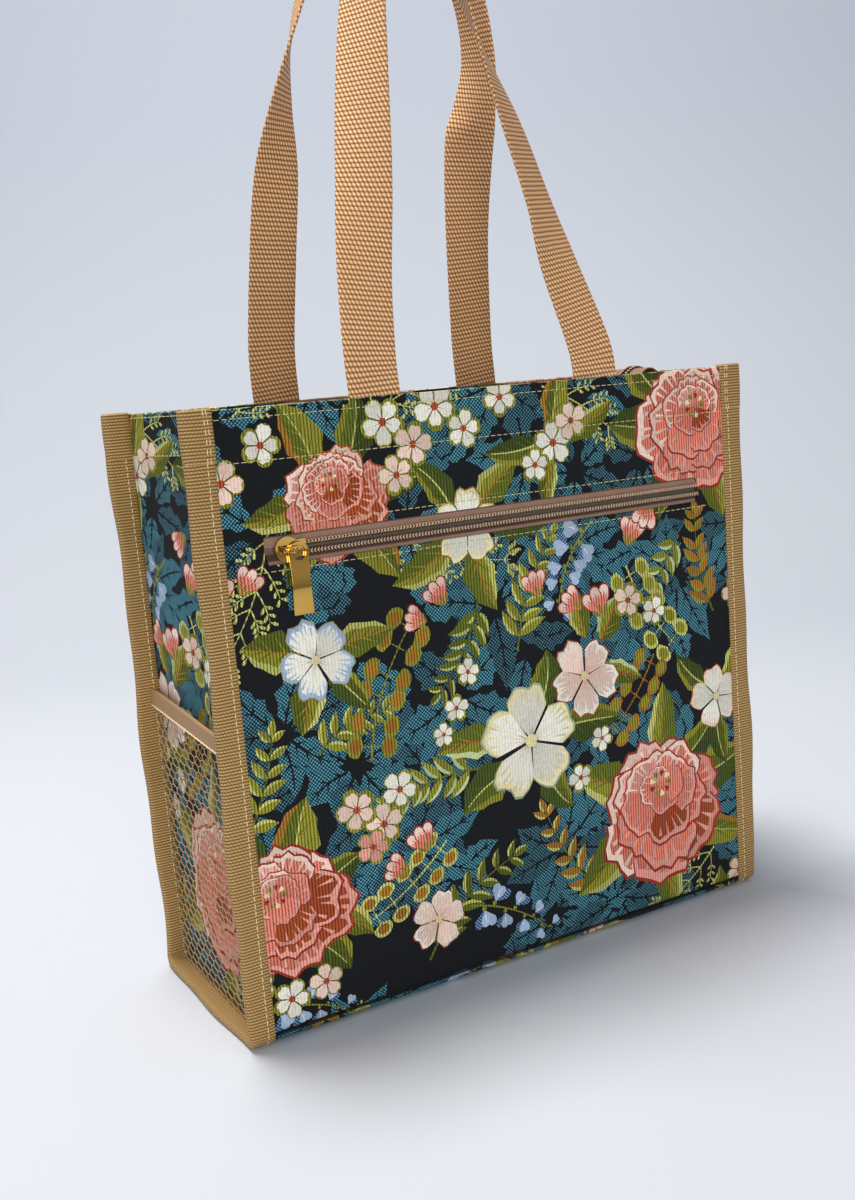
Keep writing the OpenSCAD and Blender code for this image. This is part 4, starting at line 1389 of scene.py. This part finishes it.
class Tree:
    """A Geometry Nodes tree with named inputs, built once and used by several pieces."""

    def __init__(self, name, inputs):
        self.group = bpy.data.node_groups.new(name, "GeometryNodeTree")
        face = self.group.interface
        face.new_socket("Geometry", in_out="INPUT", socket_type="NodeSocketGeometry")
        self.ids = {}
        for label, kind in inputs:
            self.ids[label] = face.new_socket(label, in_out="INPUT", socket_type=kind).identifier
        face.new_socket("Geometry", in_out="OUTPUT", socket_type="NodeSocketGeometry")
        self.start = self.group.nodes.new("NodeGroupInput")

    def node(self, kind, settings=None, inputs=None):
        return add_node(self.group, kind, settings, inputs)

    def end(self, geometry):
        whole = self.node("GeometryNodeRealizeInstances", None, {0: geometry})
        inputs = {"Geometry": whole.outputs[0], "Material": self.start.outputs["Finish"]}
        dressed = self.node("GeometryNodeSetMaterial", None, inputs)
        self.node("NodeGroupOutput", None, {0: dressed.outputs[0]})

    def make(self, name, mesh, material, values):
        """Runs the tree on a mesh and returns the result as a plain piece."""
        carrier = bpy.data.objects.new(name + "_carrier", mesh)
        bpy.context.scene.collection.objects.link(carrier)
        modifier = carrier.modifiers.new("make", "NODES")
        modifier.node_group = self.group
        modifier[self.ids["Finish"]] = material
        for label, value in values.items():
            modifier[self.ids[label]] = value
        graph = bpy.context.evaluated_depsgraph_get()
        result = bpy.data.meshes.new_from_object(carrier.evaluated_get(graph), depsgraph=graph)
        carrier.modifiers.remove(modifier)
        bpy.data.objects.remove(carrier)
        result.name = name
        return new_piece(name, result, material)


def row_tree():
    """One shape after another along lines: its x runs along the line, its y along the line's 'across'."""
    tree = Tree("row_of_shapes", (
        ("Shape", "NodeSocketObject"), ("Pitch", "NodeSocketFloat"), ("Finish", "NodeSocketMaterial"),
    ))
    begin = tree.start.outputs
    curve = tree.node("GeometryNodeMeshToCurve", None, {"Mesh": begin["Geometry"]})
    even = tree.node(
        "GeometryNodeResampleCurve", {"mode": "LENGTH"},
        {"Curve": curve.outputs[0], "Length": begin["Pitch"]},
    )
    ahead = tree.node("GeometryNodeInputTangent")
    across = tree.node("GeometryNodeInputNamedAttribute", {"data_type": "FLOAT_VECTOR"}, {"Name": "across"})
    first = tree.node("FunctionNodeAlignRotationToVector", {"axis": "X"}, {"Vector": ahead.outputs[0]})
    second = tree.node(
        "FunctionNodeAlignRotationToVector", {"axis": "Y", "pivot_axis": "X"},
        {"Rotation": first.outputs[0], "Vector": across.outputs[0]},
    )
    shape = tree.node("GeometryNodeObjectInfo", None, {"Object": begin["Shape"]})
    copies = tree.node(
        "GeometryNodeInstanceOnPoints", None,
        {"Points": even.outputs[0], "Instance": shape.outputs["Geometry"], "Rotation": second.outputs[0]},
    )
    tree.end(copies.outputs[0])
    return tree


def net_tree():
    """Edges of a mesh become round strands."""
    tree = Tree("knotted_net", (("Strand radius", "NodeSocketFloat"), ("Finish", "NodeSocketMaterial")))
    curve = tree.node("GeometryNodeMeshToCurve", None, {"Mesh": tree.start.outputs["Geometry"]})
    ring = tree.node(
        "GeometryNodeCurvePrimitiveCircle", None,
        {"Resolution": 5, "Radius": tree.start.outputs["Strand radius"]},
    )
    inputs = {"Curve": curve.outputs[0], "Profile Curve": ring.outputs[0], "Fill Caps": True}
    tube = tree.node("GeometryNodeCurveToMesh", None, inputs)
    tree.end(tube.outputs[0])
    return tree


ROW = row_tree()
NET_WORK = net_tree()


def lines_mesh(name, lines):
    """Polylines in millimetres as loose edges; each line carries its sideways direction."""
    points = []
    edges = []
    across = []
    for line, side in lines:
        first = len(points)
        points.extend(line)
        side = np.asarray(side, float)
        across.extend(side if side.ndim == 2 else [side] * len(line))
        edges.extend((i, i + 1) for i in range(first, len(points) - 1))
    mesh = bpy.data.meshes.new(name)
    mesh.from_pydata([tuple(p) for p in np.asarray(points, float) * MM], edges, [])
    held = mesh.attributes.new("across", "FLOAT_VECTOR", "POINT")
    held.data.foreach_set("vector", np.asarray(across, np.float32).ravel())
    return mesh


def capsule(work, start, end, radius):
    """A short rod with rounded ends between two points, in millimetres."""
    start, end = Vector(start) * MM, Vector(end) * MM
    turn = (end - start).to_track_quat("Z", "Y").to_matrix().to_4x4()
    length = (end - start).length
    made = bmesh.ops.create_uvsphere(work, u_segments=6, v_segments=5, radius=radius * MM)
    for v in made["verts"]:
        v.co.z += math.copysign(max(length / 2 - radius * MM, 0), v.co.z) if abs(v.co.z) > 1e-9 else 0
    bmesh.ops.transform(work, matrix=Matrix.Translation((start + end) / 2) @ turn, verts=made["verts"])


def shape_of(name, rods):
    work = bmesh.new()
    for rod in rods:
        capsule(work, *rod)
    mesh = bpy.data.meshes.new(name)
    work.to_mesh(mesh)
    work.free()
    mesh.polygons.foreach_set("use_smooth", [True] * len(mesh.polygons))
    shape = bpy.data.objects.new(name, mesh)
    bpy.context.scene.collection.objects.link(shape)
    return shape


def row(name, lines, shape, pitch, material, slot, *nodes):
    values = {"Shape": shape, "Pitch": pitch * MM}
    place(ROW.make(name, lines_mesh(name + "_lines", lines), material, values), slot, *nodes)


def sewn_row(bend, us, z, out):
    """A row of stitches at one height, just off a bent cloth."""
    return bend(us, np.full_like(us, z)) + np.array(out) * STITCH_OUT, UP


def make_stitches():
    long_stitch = shape_of("long_stitch", [((-1.5, 0, 0.05), (1.5, 0, 0.05), 0.27)])
    bold_stitch = shape_of("bold_stitch", [((-2.2, -0.3, 0), (2.2, 0.3, 0), 0.5)])
    xs = np.linspace(-171, 171, 120)
    slit = np.linspace(-156, 156, 110)
    ys = np.linspace(-64, 64, 50)
    lines = []
    for z in RIM_ROWS:
        lines += [sewn_row(front_bend, xs, z, (0, -1, 0)), sewn_row(back_bend, xs, z, (0, 1, 0))]
    for z in (ZIP_Z + SLIT_HALF_H + 4.2, ZIP_Z - SLIT_HALF_H - 2.6):
        lines.append(sewn_row(front_bend, slit, z, (0, -1, 0)))
    for side in (-1, 1):
        for z in SIDE_ROWS:
            lines.append(sewn_row(gusset_bend(side), ys, z, (side, 0, 0)))
    row("cloth_stitches", lines, long_stitch, STITCH_PITCH, CREAM_THREAD, "tapestry")
    seams = []
    bands = []
    ys = np.linspace(-65, 65, 60)
    for side in (-1, 1):
        for x, n in ((HALF_W + 3.2, 0.22), (HALF_W + 4.2, -SEAM_STACK - 0.2)):
            path = seam_path(n)
            drift = 0.4 * np.sin(lengths_along([(y, z) for y, z, _, _ in path]) / 40)
            spots = [(side * (x + d), y, max(z, 0.45)) for (y, z, _, _), d in zip(path, drift)]
            seams.append(([spot for spot in spots if spot[2] < TAB_Z - 1], ACROSS))
        for sign in (-1, 1):
            y = sign * (SEAM_HALF_D + 1.2)
            for x in (HALF_W + 1.6, HALF_W + 3.4):
                zs = np.linspace(TAB_Z + 1, RIM_Z - 1, 12)
                seams.append(([(side * (x + 0.5 * math.sin(z / 7)), y, z) for z in zs], ACROSS))
        x = side * (NET_X + 1.4)
        bands.append(([(x, y, net_top(y) - NET_BAND_H + 1.2) for y in ys], UP))
    row("tape_stitches", seams, long_stitch, STITCH_PITCH, TAN_THREAD, "binding")
    row("band_stitches", bands, bold_stitch, BOLD_PITCH, TAN_THREAD, "net_band")
    for shape in (long_stitch, bold_stitch):
        bpy.data.objects.remove(shape)


make_stitches()


def make_zip_teeth():
    tooth = shape_of("tooth", [
        ((0, COIL_W, 0.8), (0, 0.42, 1.0), 0.52), ((0, 1.7, 1.2), (0, 0.42, 1.3), 0.5),
    ])
    lock = shape_of("lock_stitch", [
        ((-0.85, 3.75, 1.3), (0.55, 2.75, 1.62), 0.4), ((-0.85, 1.75, 1.5), (0.55, 2.75, 1.62), 0.4),
    ])
    core = shape_of("core", [((-1.0, 2.6, 0.5), (1.0, 2.6, 0.5), 0.75)])

    def coil_rows(zip_name, half, lines):
        node = f"{zip_name}_zip_{half}_coil"
        row(f"{zip_name}_{half}_teeth", lines, tooth, TOOTH_PITCH, COIL, "coil", node)
        row(f"{zip_name}_{half}_core", lines, core, TOOTH_PITCH, COIL, "coil")
        row(f"{zip_name}_{half}_lock", lines, lock, TOOTH_PITCH, ZIP_THREAD, "zip_tape")

    for name, sign, shift in (("upper", 1, 0.0), ("lower", -1, TOOTH_PITCH / 2)):
        line = [(x + shift, -ZIP_Y, ZIP_Z) for x in (COIL_X1, COIL_X2)]
        coil_rows("front", name, [(line[::sign], (0, 0, sign))])
    for name, side in (("front", -1), ("back", 1)):
        spots, sides = half_tape(side)
        ahead = np.gradient(spots, axis=0)
        ahead /= np.linalg.norm(ahead, axis=1)[:, None]
        up = np.cross(ahead, sides) * side
        line = spots - sides * (TAPE_W / 2 + TAPE_GAP) + up * 0.4
        coil_rows("top", name, [(line[::side], sides[::side])])
    for shape in (tooth, lock, core):
        bpy.data.objects.remove(shape)


make_zip_teeth()


def net_cells():
    """Knots and strands of a flat net of six-sided cells, cut to the pocket."""
    wide = NET_PITCH / math.sqrt(3)
    step = 1.5 * NET_CELL_R
    spots = {}
    edges = set()

    def spot(y, z):
        return spots.setdefault((round(y * KNOTS_PER_MM), round(z * KNOTS_PER_MM)), len(spots))

    def in_pocket(y, z):
        return abs(y) < PLEAT_Y and SEAM_STACK - 1 < z < net_top(y) - NET_BAND_H + 3

    columns = int(PLEAT_Y / NET_PITCH) + 2
    turns = np.linspace(0, 2 * math.pi, 7)
    for i in range(int(NET_BACK_Z / step) + 2):
        for k in range(-columns, columns + 1):
            y = (k + 0.5 * (i % 2)) * NET_PITCH
            z = 4 + i * step
            ring = [(y + wide * math.sin(a), z + NET_CELL_R * math.cos(a)) for a in turns]
            for p, q in zip(ring, ring[1:]):
                if in_pocket(*p) and in_pocket(*q):
                    edges.add(tuple(sorted((spot(*p), spot(*q)))))
    return np.array(list(spots)) / KNOTS_PER_MM, sorted(edges)


def make_nets():
    flat, edges = net_cells()
    for side, name in ((-1, "left"), (1, "right")):
        y, z = flat[:, 0], flat[:, 1]
        loose = np.clip(1 - (y / PLEAT_Y) ** 2, 0, 1) * np.clip(np.sin(math.pi * z / 178), 0, 1)
        x = NET_X + 1.4 * loose * np.sin(z / 26 + y / 33)
        mesh = bpy.data.meshes.new(name + "_knots")
        mesh.from_pydata([tuple(p) for p in np.stack([side * x, y, z], 1) * MM], edges, [])
        piece = NET_WORK.make(f"{name}_netting", mesh, NET, {"Strand radius": STRAND_R * MM})
        place(piece, "net", f"{name}_net")
        ys = np.linspace(-PLEAT_Y + 0.2, PLEAT_Y - 0.2, 60)
        zs = net_top(ys) - NET_BAND_H / 2 + 0.4 + 0.3 * np.sin(ys / 19)
        spots = np.stack([np.full_like(ys, side * NET_X), ys, zs], 1)
        sides = np.tile(np.array(UP, float), (len(ys), 1))
        piece = ribbon(f"{name}_band", spots, sides, strap_section(NET_BAND_H + 0.8, NET_BAND_T), NET_BAND)
        place(piece, "net_band", f"{name}_net_band")


make_nets()


# Inside the CAD sliders: where a wall stands off the zip's line, and where it stands in the scene
POST_MOVES = ((1.0, 0.28),)
FLANGE_MOVES = ((3.4, 4.3), (4.6, 4.7))
POST_HALF = 1.01
FLANGE_HALF = 4.65
FRONT_SLIDER_X = -145.3
TOP_SLIDER_X = 81.7


def move_walls(work, low, high, axis, moves):
    """Moves the walls in a box: the post then runs between the teeth, and the coil between the flanges."""
    low, high = Vector(low) * MM, Vector(high) * MM
    middle = (low[axis] + high[axis]) / 2
    for vert in work.verts:
        if all(low[i] <= vert.co[i] <= high[i] for i in range(3)):
            away = vert.co[axis] - middle
            _, new = min(moves, key=lambda move: abs(move[0] * MM - abs(away)))
            vert.co[axis] = middle + math.copysign(new * MM, away)


def polish(node, name, body, walls=()):
    """A CAD piece of the zip with its edges rounded over."""
    mesh = frame["nodes"][node].data.copy()
    work = bmesh.new()
    work.from_mesh(mesh)
    bmesh.ops.remove_doubles(work, verts=work.verts, dist=1e-6)
    for wall in walls:
        move_walls(work, *wall)
    bmesh.ops.dissolve_limit(work, angle_limit=math.radians(1), verts=work.verts, edges=work.edges)
    work.to_mesh(mesh)
    work.free()
    piece = new_piece(name, mesh, GOLD)
    bevel = piece.modifiers.new("round", "BEVEL")
    bevel.width = 0.25 * MM
    bevel.segments = 3
    bevel.limit_method = "ANGLE"
    bevel.angle_limit = math.radians(40)
    bevel.harden_normals = True
    graph = bpy.context.evaluated_depsgraph_get()
    piece.data = bpy.data.meshes.new_from_object(piece.evaluated_get(graph), depsgraph=graph)
    piece.modifiers.remove(bevel)
    place(piece, "gold", node, body=body)


def slider_walls(x, centre, axis, depths):
    """Boxes round a slider's post and flanges: low and high corner, the axis across, and the moves."""
    boxes = []
    spans = ((0, 3.2, POST_HALF, POST_MOVES), (6.2, 17.4, FLANGE_HALF, FLANGE_MOVES))
    for (start, end, half, moves), (near, far) in zip(spans, depths):
        low, high = [x + start, 0, 0], [x + end, 0, 0]
        low[axis], high[axis] = centre - half, centre + half
        low[3 - axis], high[3 - axis] = near, far
        boxes.append((low, high, axis, moves))
    return boxes


FRONT_DEPTHS = ((-ZIP_Y - 2.5, -ZIP_Y + 1.2), (-ZIP_Y - 2.5, -ZIP_Y - 0.1))
TOP_DEPTHS = ((TAIL_Z - 1.2, TAIL_Z + 2.5), (TAIL_Z + 0.1, TAIL_Z + 2.5))
FRONT_WALLS = slider_walls(FRONT_SLIDER_X, ZIP_Z, 2, FRONT_DEPTHS)
TOP_WALLS = slider_walls(TOP_SLIDER_X, -TAIL_Y, 1, TOP_DEPTHS)
polish("front_zip_slider", "front_slider_body", "front_slider", FRONT_WALLS)
polish("front_zip_pull", "front_pull_plate", "front_pull")
polish("top_zip_slider", "top_slider_body", "top_slider", TOP_WALLS)
polish("top_zip_pull", "top_pull_plate", "top_pull")


SWEEP_R = 900.0


def make_stage():
    """A pale floor that sweeps up into a backdrop, greyer with height as painted shade."""
    turns = np.linspace(0, math.pi / 2, 16)[1:]
    profile = [(-950, 0), (SWEEP_R, 0)]
    profile += [(SWEEP_R + SWEEP_R * math.sin(a), SWEEP_R - SWEEP_R * math.cos(a)) for a in turns]
    profile += [(2 * SWEEP_R, 4000)]
    points = [(x, y, z) for x in (-5000, 5000) for y, z in profile]
    n = len(profile)
    faces = [(i, i + n, i + n + 1, i + 1) for i in range(n - 1)]
    dye = Dye("paper")
    # Painted shade: the paper is mixed to a greyer blue with height
    colour = dye.mix(dye.soft_step(dye.height(), 0.0, 1.3), dye.colour("#ccd1d9"), dye.colour("#c0c8d4"))
    floor = new_piece("paper_sweep", mesh_from("paper_sweep", points, faces), dye.finish(colour, 0.95))
    floor.data.transform(Matrix.Rotation(math.radians(-29), 4, "Z"))
    floor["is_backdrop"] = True


make_stage()


def add_lamp(name, at, aim, size, power, colour="#ffffff"):
    light = bpy.data.lights.new(name, "AREA")
    light.shape = "DISK"
    light.size = size
    light.energy = power
    light.color = linear(colour)
    lamp = bpy.data.objects.new(name, light)
    bpy.context.scene.collection.objects.link(lamp)
    lamp.location = at
    lamp.rotation_euler = (Vector(aim) - Vector(at)).to_track_quat("-Z", "Y").to_euler()


def light_the_stage():
    """Soft light from above and behind, low fill from the front, and a dark room for the metal to mirror."""
    world = bpy.data.worlds.new("studio")
    bpy.context.scene.world = world
    dye = Dye("studio", world)
    look = dye.soft_step(dye.height("Generated"), -0.45, 0.12)
    room = dye.mix(look, dye.colour("#3a2a1a"), dye.colour("#ffffff"))
    mirrored = dye.node("ShaderNodeLightPath", None, None, "Is Glossy Ray")
    colour = dye.mix(mirrored, dye.colour("#e6eaf2"), room)
    sky = dye.node("ShaderNodeBackground", None, {"Color": colour, "Strength": 0.4})
    dye.node("ShaderNodeOutputWorld", None, {"Surface": sky})
    add_lamp("key", (-0.3, 0.35, 2.2), (0, 0, 0.1), 0.7, 50, "#fffaf4")
    add_lamp("front_fill", (-0.9, -2.5, 0.5), (0, 0, 0.25), 1.3, 30, "#fffdf8")
    add_lamp("left_fill", (-2.3, -0.4, 0.7), (0, 0, 0.25), 1.3, 6, "#f8faff")
    bpy.context.scene.view_settings.view_transform = "Standard"


light_the_stage()


def add_camera():
    yaw, pitch, roll = (math.radians(a) for a in CAMERA_TURNS)
    level = math.cos(pitch)
    ahead = Vector((math.sin(yaw) * level, math.cos(yaw) * level, -math.sin(pitch)))
    right = Vector((math.cos(yaw), -math.sin(yaw), 0))
    up = right.cross(ahead)
    across = math.cos(roll) * right + math.sin(roll) * up
    upward = math.cos(roll) * up - math.sin(roll) * right
    data = bpy.data.cameras.new("camera")
    data.sensor_fit = "VERTICAL"
    data.sensor_height = 24.0
    data.lens = data.sensor_height * CAMERA_LENS_PX / PHOTO_H_PX
    camera = bpy.data.objects.new("camera", data)
    bpy.context.scene.collection.objects.link(camera)
    matrix = Matrix((across, upward, -ahead)).transposed().to_4x4()
    matrix.translation = Vector(CAMERA_AT) * MM
    camera.matrix_world = matrix
    bpy.context.scene.camera = camera


add_camera()

boxes = {"cad": cad_box, "visual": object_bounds()}
{key: [list(corner) for corner in box] for key, box in boxes.items()}
